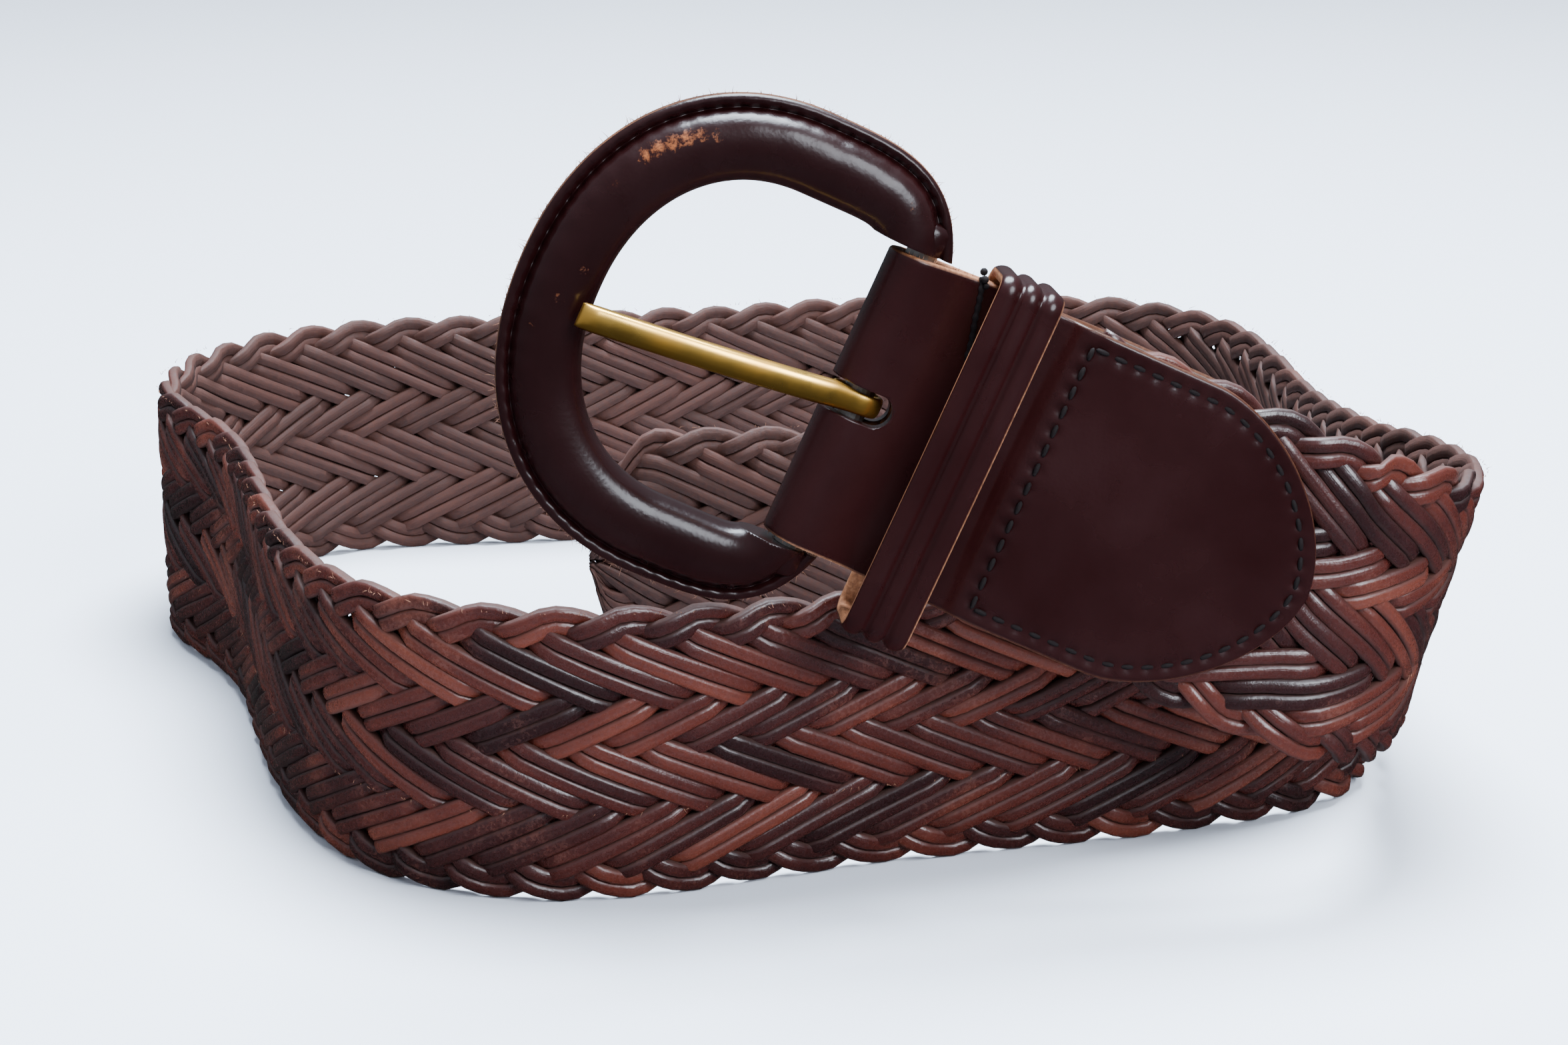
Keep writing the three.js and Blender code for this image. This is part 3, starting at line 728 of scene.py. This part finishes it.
def make_keeper(axes, material):
    grooves = (KEEPER_WIDTH / 3, KEEPER_WIDTH * 2 / 3)
    outer_u = np.linspace(0, KEEPER_WIDTH, 33)
    groove, groove_width = KEEPER_GROOVE
    edge, edge_width = KEEPER_EDGE
    inset = sum(groove * np.exp(-((outer_u - g) / groove_width) ** 2) for g in grooves)
    inset += KEEPER_RIB * np.cos(outer_u / KEEPER_WIDTH * 6 * math.pi)
    inset += edge * (np.exp(-outer_u / edge_width) + np.exp((outer_u - KEEPER_WIDTH) / edge_width))
    section = [(u, i, 0) for u, i in zip(outer_u, inset)]
    section[-1] = (outer_u[-1], inset[-1], 0.9)
    section += [(KEEPER_WIDTH, KEEPER_LEATHER * 0.5, 1), (KEEPER_WIDTH - 0.1 * MM, KEEPER_LEATHER * 0.95, 1)]
    section += [(KEEPER_WIDTH * part, KEEPER_LEATHER, 1) for part in (0.85, 0.6, 0.35, 0.12)]
    section += [(0.1 * MM, KEEPER_LEATHER * 0.95, 1), (0, KEEPER_LEATHER * 0.5, 1)]
    half_tall = CHAPE_HALF + KEEPER_SPARE + KEEPER_LEATHER - KEEPER_CORNER
    front = LEATHER + GAP + KEEPER_ROOM + KEEPER_LEATHER - KEEPER_CORNER
    back = -(LEATHER + GAP + KEEPER_LEATHER) + KEEPER_CORNER
    middle, half_deep = (front + back) / 2, (front - back) / 2
    stations = []
    for corner in range(4):
        y = math.copysign(half_tall, math.cos((corner + 0.5) * math.pi / 2))
        z = math.copysign(half_deep, math.sin((corner + 0.5) * math.pi / 2)) + middle
        for i in range(11):
            stations.append((y, z, (corner + i / 10) * math.pi / 2))
        if corner % 2 == 0:
            turned = (corner + 1) * math.pi / 2
            for part in np.linspace(0, 1, 26)[1:-1]:
                stations.append((y * (1 - 2 * part), z, turned))
    points, raws = [], []
    for y, z, angle in stations:
        bow = KEEPER_BOW * (1 - (y / half_tall) ** 2) * max(math.sin(angle), 0)
        for u, inward, raw in section:
            reach = KEEPER_CORNER - inward + bow
            across = y - KEEPER_DROP + reach * math.cos(angle)
            points.append((KEEPER_START + u, across, z + reach * math.sin(angle)))
            raws.append(raw)
    keeper = make_object(
        "keeper_loop", axes.place(points), loop_faces(len(stations), len(section), joined=True), material,
        [("raw", raws)],
    )
    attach(keeper, "strap")
    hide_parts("keeper")


def ring_middle():
    frame_reach = WINDOW_REACH + RING_WIDTH
    return (FRAME_BACK - frame_reach) / 2 + FRAME_BACK / 2


def ring_edge(angle, inset):
    """Distance from the ring's middle to its outline, drawn in by inset."""
    to_bar = np.cos(angle) > 0
    long = np.where(to_bar, FRAME_BACK - ring_middle(), WINDOW_REACH + RING_WIDTH + ring_middle()) - inset
    tall = CHAPE_HALF + WINDOW_SPARE + RING_WIDTH - inset
    bar_power = SQUARENESS_BAR + (SQUARENESS_BAR_INSIDE - SQUARENESS_BAR) * inset / RING_WIDTH
    power = np.where(to_bar, bar_power, SQUARENESS_FAR)
    total = np.abs(np.cos(angle) / long) ** power + np.abs(np.sin(angle) / tall) ** power
    return total ** (-1 / power)


def ring_point(angle, share):
    """(u, v) on the ring at an angle and a share of its width from the inner edge."""
    inner, outer = ring_edge(angle, RING_WIDTH), ring_edge(angle, 0)
    reach = inner + (outer - inner) * share
    return np.stack([ring_middle() + reach * np.cos(angle), reach * np.sin(angle)], axis=-1)


def clear_of_opening(places):
    """Which places on the ring lie clear of the opening at its bar side."""
    return (np.abs(places[:, 1]) > RING_CLEAR_ACROSS) | (places[:, 0] < -RING_CLEAR_ALONG)


def make_ring(axes, material, thread):
    section = smooth_line(np.array(RING_FRONT + RING_BACK + RING_FRONT[:1]), 0.022)[:-1]
    angles = np.linspace(0, 2 * math.pi, RING_STEPS, endpoint=False)
    line = ring_point(np.linspace(0.0, 2 * math.pi, 900), RING_STITCH_SHARE)
    here, direction = evenly(line, RING_STITCH)
    clear = clear_of_opening(here)
    here, direction = here[clear], direction[clear]
    flat = np.array([ring_point(angles, share) for share, _ in section]).transpose(1, 0, 2)
    height = np.broadcast_to(section[None, :, 1] * MM, flat.shape[:2]).copy()
    near = (section[:, 0] > 0.7) & (section[:, 0] < 0.97)
    sink = np.zeros(flat.shape[:2])
    sunk = dents(flat[:, near].reshape(-1, 2), [(here, direction)], *RING_DENT)
    sink[:, near] = sunk.reshape(len(angles), -1)
    wrinkle = np.sin(angles * 31 + 2 * np.sin(angles * 5)) * np.sin(angles * 13 + 1)
    by_stitches = np.exp(-((section[None, :, 0] - 0.7) / 0.12) ** 2)
    height += np.sign(height) * (wrinkle[:, None] * RING_WRINKLE * by_stitches - sink)
    ring_uvn = np.concatenate([flat, height[..., None]], axis=-1).reshape(-1, 3)
    share = np.tile(section[:, 0], len(angles))
    level = np.tile(section[:, 1], len(angles))
    bearing = np.repeat(angles, len(section))
    worn = 0.3 + 0.5 * np.exp(-((bearing - 0.75) / 0.6) ** 2)
    worn += 0.12 * np.sin(bearing * 7) * np.sin(bearing * 17)
    raw = worn * np.exp(-((share - 1.0) / 0.03) ** 2) * (np.abs(level) < 1.2)
    scuff = np.zeros(len(ring_uvn))
    for u, v, reach, strength in RING_SCUFFS:
        away = ((ring_uvn[:, 0] - u * MM) ** 2 + (ring_uvn[:, 1] - v * MM) ** 2) / (reach * MM) ** 2
        scuff = np.maximum(scuff, strength * np.exp(-away) * (ring_uvn[:, 2] > 0))
    ring = make_object(
        "padded_ring", axes.place(ring_uvn), loop_faces(len(angles), len(section), joined=True), material,
        [("raw", raw), ("scuff", scuff)],
    )
    opening_half = CHAPE_HALF + 0.2 * MM
    low, high = -RING_WIDTH - 1 * MM, 2 * RING_WIDTH
    outline = [(low, -opening_half), (high, -opening_half), (high, opening_half), (low, opening_half)]
    cut_away(ring, prism(axes, outline, -2 * RING_WIDTH, 2 * RING_WIDTH))
    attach(ring, "frame")
    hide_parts("buckle_frame")

    make_lugs(axes, opening_half, material)

    deep, share, radius = RING_THREAD
    made = []
    for (su, sv), (du, dv) in zip(here, direction):
        for front, level in ((1, RING_THREAD_LEVEL), (-1, FLANGE_THICKNESS / 2)):
            centre = axes.place((su, sv, front * (level - deep)))
            made.append((centre, axes.u * du + axes.v * dv, axes.n * front, RING_STITCH * share, radius))
    make_threads("ring_stitches", made, thread, "frame")


def make_lugs(axes, opening_half, material):
    """The round leather ends that hold the bar, one at each side of the ring's opening."""
    vertices, faces = [], []
    u, v, n = np.eye(3)
    for side in (1, -1):
        own = loop_faces(len(LUG_PROFILE), SOLID_CORNERS, len(vertices))
        faces += [face[::-1] for face in own]
        for radius, deep in LUG_PROFILE:
            reach = max(radius, LUG_LEAST_RADIUS) * MM
            vertices += circle(v * side * (opening_half + deep * MM), u, n * side, reach, SOLID_CORNERS)
    lugs = make_object("ring_lugs", axes.place(vertices), faces, material)
    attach(lugs, "frame")


def make_prong(axes, material):
    """Brass prong: a flat eye round the bar and a rounded shank, blunt at its tip."""
    eye = BAR_RADIUS + GAP + PRONG_EYE_THICKNESS / 2
    turns = np.radians(np.arange(-225, 91, 15))
    line = [(eye * math.cos(a), eye * math.sin(a)) for a in turns]
    line += [(u * MM, n * MM) for u, n in PRONG_LINE] + [(-PRONG_TIP, PRONG_TIP_HEIGHT)]
    path = smooth_line(line, PRONG_STEP)
    normals = plane_normals(path)
    from_tip = run_length(path[::-1])[::-1]
    shank = np.clip((-path[:, 0] + 1.5 * MM) / (7 * MM), 0, 1)
    shank *= path[:, 1] > 0
    shank = shank * shank * (3 - 2 * shank)
    thick = (PRONG_EYE_THICKNESS + (PRONG_THICKNESS - PRONG_EYE_THICKNESS) * shank) / 2
    wide = (PRONG_EYE_WIDTH + (PRONG_WIDTH - PRONG_EYE_WIDTH) * shank) / 2
    blunt = np.clip(from_tip / PRONG_ROUND, 0, 1)
    thick_top = thick * (0.5 + 0.5 * np.sqrt(blunt))
    wide = wide * (0.86 + 0.14 * np.sqrt(blunt))
    angles = np.linspace(0, 2 * math.pi, SOLID_CORNERS, endpoint=False)
    rounding = 2 / 2.7
    across = np.sign(np.cos(angles)) * np.abs(np.cos(angles)) ** rounding
    out = np.sign(np.sin(angles)) * np.abs(np.sin(angles)) ** rounding
    towards = -normals if normals[-1, 1] < 0 else normals
    thick, thick_top = thick[:, None], thick_top[:, None]
    offset = np.where(out > 0, thick_top * 2 - thick, thick) * out
    u = path[:, None, 0] + towards[:, None, 0] * offset
    n = path[:, None, 1] + towards[:, None, 1] * offset
    clear_of_bar = np.maximum(1, (BAR_RADIUS + GAP) / np.hypot(u, n))
    u, n = u * clear_of_bar, n * clear_of_bar
    past_eye = np.maximum(0, -(BAR_RADIUS + GAP + PRONG_EYE_THICKNESS) - path[:, 0])
    v = across[None, :] * wide[:, None] - math.tan(PRONG_SAG) * past_eye[:, None]
    points = axes.place(np.stack([u, v, n], axis=-1)).reshape(-1, 3)
    prong = make_object("brass_prong", points, loop_faces(len(path), SOLID_CORNERS), material)
    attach(prong, "prong")
    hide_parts("prong")


def make_fuzz(name, roots, outward, along, count, longest, material, body, slot_name):
    """Loose leather fibres on a raw edge: thin bent spikes."""
    vertices, faces = [], []
    for _ in range(count):
        i = int(rng.integers(len(roots)))
        length = longest * (0.25 + 0.75 * rng.random() ** 2)
        lean = unit(along[i] * rng.normal(0, 0.6) + outward[i] + rng.normal(0, 0.35, 3))
        bend = rng.normal(0, 0.35, 3)
        side = unit(np.cross(lean, along[i] + 1e-3))
        other = np.cross(lean, side)
        root = roots[i] - lean * 0.15 * MM
        faces += loop_faces(len(FIBRE_SHAPE), FIBRE_CORNERS, len(vertices))
        for part, radius in FIBRE_SHAPE:
            middle = root + lean * length * part + bend * length * part * part
            vertices += circle(middle, side, other, radius * MM, FIBRE_CORNERS)
    fuzz = make_object(name, vertices, faces, material)
    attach(fuzz, body)


def make_all_fuzz(axes, route):
    """Fibres on the ring's outer edge, the leather end's fold, and the braid's top edge and lower face."""
    material = fibre_material()
    angles = np.linspace(0.35, 2 * math.pi - 0.35, 400)
    edge = ring_point(angles, 1.0)
    edge = edge[clear_of_opening(edge)]
    roots = axes.place(np.concatenate([edge, np.full((len(edge), 1), 0.4 * MM)], axis=1))
    middle = axes.place((ring_middle(), 0, 0))
    outward = unit(roots - middle)
    along = unit(np.gradient(roots, axis=0))
    make_fuzz("ring_fibres", roots, outward, along, *RING_FIBRES, material, "frame", "buckle_leather")

    fold_u = np.linspace(-4.5, 9, 60) * MM
    for side, name in ((1, "fold_fibres_top"), (-1, "fold_fibres_bottom")):
        half = chape_half_width(fold_u) * side
        height = np.sqrt(np.maximum(FOLD_RADIUS**2 - fold_u**2, (LEATHER * 0.9) ** 2)) - LEATHER / 2
        roots = axes.place(np.stack([fold_u, half, height], axis=1))
        outward = np.tile(axes.v * side, (len(roots), 1))
        along = np.tile(axes.u, (len(roots), 1))
        make_fuzz(name, roots, outward, along, *FOLD_FIBRES, material, "strap", "smooth_leather")

    at = np.linspace(BRAID_START + CHAPE_LENGTH, route.total - TIP_LENGTH, 1500)
    half = np.full(len(at), BELT_WIDTH / 2 - 0.6 * MM)
    for side, name in ((1, "braid_fibres_top"), (-1, "braid_fibres_low")):
        lift = BELT_WIDTH / 2 * 0.6 * (side < 0)
        roots = route.place(at, side * (half - lift), np.full(len(at), 1.9 * MM))
        outward = unit(route.place(at, side * (half + MM), np.full(len(at), 2.5 * MM)) - roots)
        along = unit(np.gradient(roots, axis=0))
        make_fuzz(name, roots, outward, along, *BRAID_FIBRES, material, "strap", "braid_leather")


# Materials

BRAID_TONES = [
    (0.0, (0.0145, 0.0034, 0.0034)), (0.25, (0.025, 0.0053, 0.0046)), (0.55, (0.043, 0.0077, 0.0052)),
    (0.8, (0.066, 0.0122, 0.0068)), (1.0, (0.092, 0.0195, 0.0105)),
]
BRAID_WORN = (0.15, 0.042, 0.022)
# Cut sides of the strips: the suede's own colour, kept dark as painted shade for the gaps between strands.
BRAID_SUEDE_AND_GAP_SHADE = [(0.25, (0.018, 0.0046, 0.003)), (0.75, (0.075, 0.024, 0.012))]
BRAID_INNER = [(0.25, (0.028, 0.0054, 0.0016)), (0.75, (0.063, 0.0138, 0.0036))]
LEATHER_SCUFF = (0.27, 0.075, 0.016)
RAW_EDGE = [(0.2, (0.1, 0.033, 0.014)), (0.55, (0.28, 0.11, 0.045)), (0.85, (0.44, 0.22, 0.11))]
END_LEATHER = ((0.0095, 0.0015, 0.0016), (0.02, 0.0029, 0.0029))
RING_LEATHER = ((0.0065, 0.0012, 0.0013), (0.0145, 0.0023, 0.0024))
BRASS_TONES = ((1.0, 0.6, 0.13), (0.82, 0.42, 0.07))
STEEL_TONES = ((0.3, 0.28, 0.26), (0.5, 0.48, 0.45))
THREAD_TONES = ((0.0025, 0.0016, 0.0017), (0.009, 0.0045, 0.0042))
FIBRE_COLOUR = (0.25, 0.11, 0.06)
FLOOR_COLOUR = (0.84, 0.89, 0.98)
LEATHER_GLOSS = 0.2
# Scales of the noises
GRAIN_ALONG, GRAIN_ACROSS = 45.0, 1500.0
BRAID_BLOTCH, BRAID_GRAIN, BRAID_FINE = 55.0, 1500.0, 3600.0
LEATHER_BLOTCH, LEATHER_FINE, LEATHER_PORES, SCUFF_GRAIN = 45.0, 1700.0, 1500.0, 1300.0


def plug(tree, made, inputs):
    """Gives a node its inputs: a link for another node's output, otherwise a value."""
    for key, value in inputs.items():
        socket = made.inputs[key]
        if isinstance(value, bpy.types.NodeSocket):
            tree.links.new(value, socket)
        else:
            socket.default_value = (*value, 1) if socket.type == "RGBA" else value


def node(tree, kind, inputs=None, **settings):
    made = tree.nodes.new(kind)
    for key, value in settings.items():
        setattr(made, key, value)
    plug(tree, made, inputs or {})
    return made


def mix_colour(tree, factor, first, second):
    return node(tree, "ShaderNodeMix", {0: factor, 6: first, 7: second}, data_type="RGBA").outputs[2]


def maths(tree, operation, first, second=0.5, clamp=False):
    made = node(tree, "ShaderNodeMath", {0: first, 1: second}, operation=operation, use_clamp=clamp)
    return made.outputs[0]


def remap(tree, value, low, high, to_low=0.0, to_high=1.0):
    inputs = {"Value": value, "From Min": low, "From Max": high, "To Min": to_low, "To Max": to_high}
    return node(tree, "ShaderNodeMapRange", inputs).outputs["Result"]


def attribute(tree, name):
    return node(tree, "ShaderNodeAttribute", attribute_name=name).outputs["Fac"]


def ramp(tree, value, stops):
    made = node(tree, "ShaderNodeValToRGB", {"Fac": value})
    elements = made.color_ramp.elements
    while len(elements) < len(stops):
        elements.new(0.5)
    for element, (position, colour) in zip(elements, stops):
        element.position = position
        element.color = (*colour, 1)
    return made.outputs["Color"]


def noise(tree, vector, scale, detail=4.0, roughness=0.55):
    inputs = {"Vector": vector, "Scale": scale, "Detail": detail, "Roughness": roughness}
    return node(tree, "ShaderNodeTexNoise", inputs).outputs["Fac"]


def new_material(name):
    material = bpy.data.materials.new(name)
    material.use_nodes = True
    return material, material.node_tree, material.node_tree.nodes["Principled BSDF"]


def fibre_material():
    material, tree, shader = new_material("fibre")
    plug(tree, shader, {"Base Color": FIBRE_COLOUR, "Roughness": 0.8})
    return material


def object_place(tree):
    return node(tree, "ShaderNodeTexCoord").outputs["Object"]


def link_bump(tree, shader, heights):
    """Chains bumps: (height, distance, strength)."""
    normal = None
    for height, distance, strength in heights:
        bump = node(tree, "ShaderNodeBump", {"Height": height, "Distance": distance, "Strength": strength})
        if normal is not None:
            tree.links.new(normal, bump.inputs["Normal"])
        normal = bump.outputs["Normal"]
    tree.links.new(normal, shader.inputs["Normal"])


def braid_leather():
    material, tree, shader = new_material("braid_leather")
    place = object_place(tree)
    run, side, tint, cut, back = (attribute(tree, name) for name in ("run", "side", "tint", "cut", "back"))
    along = maths(tree, "MULTIPLY", run, GRAIN_ALONG)
    across = maths(tree, "MULTIPLY", side, GRAIN_ACROSS)
    grain_place = node(tree, "ShaderNodeCombineXYZ", {"X": along, "Y": across, "Z": tint}).outputs[0]
    streak = noise(tree, grain_place, 1.0, 3.0)
    blotch = noise(tree, place, BRAID_BLOTCH, 4.0)
    grain = noise(tree, place, BRAID_GRAIN, 4.0, 0.65)
    fine = noise(tree, place, BRAID_FINE, 3.0)
    tone = maths(tree, "ADD", tint, maths(tree, "MULTIPLY", maths(tree, "SUBTRACT", blotch, 0.5), 0.7))
    tone = maths(tree, "ADD", tone, maths(tree, "MULTIPLY", maths(tree, "SUBTRACT", streak, 0.5), 0.35))
    colour = ramp(tree, tone, BRAID_TONES)
    worn = remap(tree, maths(tree, "ADD", blotch, maths(tree, "MULTIPLY", grain, 0.5)), 0.82, 1.0)
    colour = mix_colour(tree, maths(tree, "MULTIPLY", worn, 0.35), colour, BRAID_WORN)
    # The cut sides lie in the gaps between strands. They get the suede colour, darkened as painted shade.
    suede_and_gap_shade = ramp(tree, fine, BRAID_SUEDE_AND_GAP_SHADE)
    colour = mix_colour(tree, maths(tree, "MULTIPLY", cut, 0.5), colour, suede_and_gap_shade)
    inner = ramp(tree, grain, BRAID_INNER)
    colour = mix_colour(tree, maths(tree, "MULTIPLY", back, 0.75), colour, inner)
    gloss = remap(tree, grain, 0.3, 0.75, 0.2, 0.34)
    rough = maths(tree, "ADD", gloss, maths(tree, "MULTIPLY", maths(tree, "MAXIMUM", cut, back), 0.5), True)
    plug(tree, shader, {"Base Color": colour, "Roughness": rough, "Specular IOR Level": 0.6})
    link_bump(tree, shader, [(streak, 0.2 * MM, 0.5), (grain, 0.1 * MM, 0.6), (fine, 0.05 * MM, 0.4)])
    return material


def smooth_leather(name, dark, light):
    """Dark glossy leather. Raw and scuff values that a mesh lacks read as 0."""
    material, tree, shader = new_material(name)
    place = object_place(tree)
    raw = attribute(tree, "raw")
    scuff = attribute(tree, "scuff")
    blotch = noise(tree, place, LEATHER_BLOTCH, 5.0)
    fine = noise(tree, place, LEATHER_FINE, 3.0)
    pores = node(tree, "ShaderNodeTexVoronoi", {"Vector": place, "Scale": LEATHER_PORES}).outputs["Distance"]
    colour = mix_colour(tree, remap(tree, blotch, 0.25, 0.85), dark, light)
    patchy = remap(tree, maths(tree, "ADD", noise(tree, place, SCUFF_GRAIN, 6.0, 0.8), scuff), 0.9, 1.16)
    colour = mix_colour(tree, patchy, colour, LEATHER_SCUFF)
    colour = mix_colour(tree, raw, colour, ramp(tree, fine, RAW_EDGE))
    rough = remap(tree, blotch, 0.3, 0.7, LEATHER_GLOSS, LEATHER_GLOSS + 0.14)
    rough = maths(tree, "ADD", rough, maths(tree, "MULTIPLY", maths(tree, "MAXIMUM", raw, patchy), 0.5), True)
    plug(tree, shader, {"Base Color": colour, "Roughness": rough, "Specular IOR Level": 0.27})
    link_bump(tree, shader, [(blotch, 0.5 * MM, 0.25), (pores, 0.04 * MM, 0.35), (fine, 0.05 * MM, 0.3)])
    return material


def brass():
    material, tree, shader = new_material("prong_brass")
    place = object_place(tree)
    tarnish = noise(tree, place, 160.0, 5.0)
    drawn_out = node(tree, "ShaderNodeMapping", {"Vector": place, "Scale": (60, 900, 900)}).outputs[0]
    scratches = noise(tree, drawn_out, 1.0)
    colour = mix_colour(tree, remap(tree, tarnish, 0.4, 0.75), *BRASS_TONES)
    rough = remap(tree, tarnish, 0.3, 0.8, 0.24, 0.42)
    plug(tree, shader, {"Base Color": colour, "Metallic": 1.0, "Roughness": rough})
    link_bump(tree, shader, [(scratches, 0.03 * MM, 0.3)])
    return material


def dull_steel():
    material, tree, shader = new_material("bar_steel")
    place = object_place(tree)
    spots = noise(tree, place, 300.0, 4.0)
    colour = mix_colour(tree, spots, *STEEL_TONES)
    rough = remap(tree, spots, 0.3, 0.8, 0.35, 0.55)
    plug(tree, shader, {"Base Color": colour, "Metallic": 1.0, "Roughness": rough})
    return material


def thread_material():
    material, tree, shader = new_material("thread")
    place = object_place(tree)
    twist = noise(tree, place, 2600.0, 2.0)
    colour = mix_colour(tree, twist, *THREAD_TONES)
    rough = remap(tree, twist, 0.3, 0.7, 0.75, 0.95)
    plug(tree, shader, {"Base Color": colour, "Roughness": rough, "Specular IOR Level": 0.2})
    link_bump(tree, shader, [(twist, 0.1 * MM, 0.5)])
    return material


# Stage

FLOOR_HALF = 3.0
LIGHT_SIZE = 0.8
LIGHT_TARGET = (0, 0, 0.04)
# Name, place, power and colour of each light.
LIGHTS = [
    ("overhead", (0.1, 0.15, 1.2), 85, (0.8, 0.89, 1.0)),
    ("window", (0.7, -0.95, 0.85), 31, (0.86, 0.92, 1.0)),
]
# Surrounding light, from below (0) to above (1).
SKY = [
    (0.42, (0.05, 0.05, 0.052)), (0.55, (0.2, 0.215, 0.24)),
    (0.75, (0.42, 0.46, 0.53)), (1.0, (0.62, 0.68, 0.78)),
]


def make_camera():
    data = bpy.data.cameras.new("camera")
    data.sensor_width = SENSOR_WIDTH
    data.lens = FOCAL_LENGTH
    data.clip_start = 0.01
    camera = add_object("camera", data)
    camera.location = CAMERA_PLACE
    camera.rotation_euler = (math.pi / 2 - CAMERA_PITCH, 0, 0)
    bpy.context.scene.camera = camera


def make_floor():
    corners = [(x * FLOOR_HALF, y * FLOOR_HALF, 0) for x, y in ((-1, -1), (1, -1), (1, 1), (-1, 1))]
    material, tree, shader = new_material("floor")
    plug(tree, shader, {"Base Color": FLOOR_COLOUR, "Roughness": 0.6})
    floor = make_object("floor", corners, [(0, 1, 2, 3)], material, smooth=False)
    # The leather doesn't mirror the floor, which is far wider than the photographed table.
    floor.visible_glossy = False


def area_light(name, place, power, colour):
    data = bpy.data.lights.new(name, "AREA")
    data.shape = "DISK"
    data.size = LIGHT_SIZE
    data.energy = power
    data.color = colour
    light = add_object(name, data)
    light.location = place
    light.rotation_euler = (Vector(LIGHT_TARGET) - Vector(place)).to_track_quat("-Z", "Y").to_euler()


def make_lights():
    world = bpy.data.worlds.new("studio")
    world.use_nodes = True
    tree = world.node_tree
    direction = node(tree, "ShaderNodeTexCoord").outputs["Generated"]
    upward = node(tree, "ShaderNodeSeparateXYZ", {"Vector": direction}).outputs["Z"]
    glow = ramp(tree, remap(tree, upward, -1.0, 1.0), SKY)
    tree.links.new(glow, tree.nodes["Background"].inputs["Color"])
    bpy.context.scene.world = world
    for light in LIGHTS:
        area_light(*light)


make_camera()
make_floor()
make_lights()

bar_centre = np.array(frame["joints"][0]["pos_m"])
route = Route(bar_centre)
make_strands(route, braid_leather())

axes = BuckleAxes(bar_centre)
dark_leather = smooth_leather("smooth_leather", *END_LEATHER)
ring_leather = smooth_leather("buckle_leather", *RING_LEATHER)
thread = thread_material()
make_chape(axes, dark_leather, thread)
make_seam(axes, thread)
make_keeper(axes, dark_leather)
make_ring(axes, ring_leather, thread)
make_prong(axes, brass())
make_all_fuzz(axes, route)
bar = frame["nodes"]["buckle_bar"]
bar.data.materials.clear()
bar.data.materials.append(dull_steel())
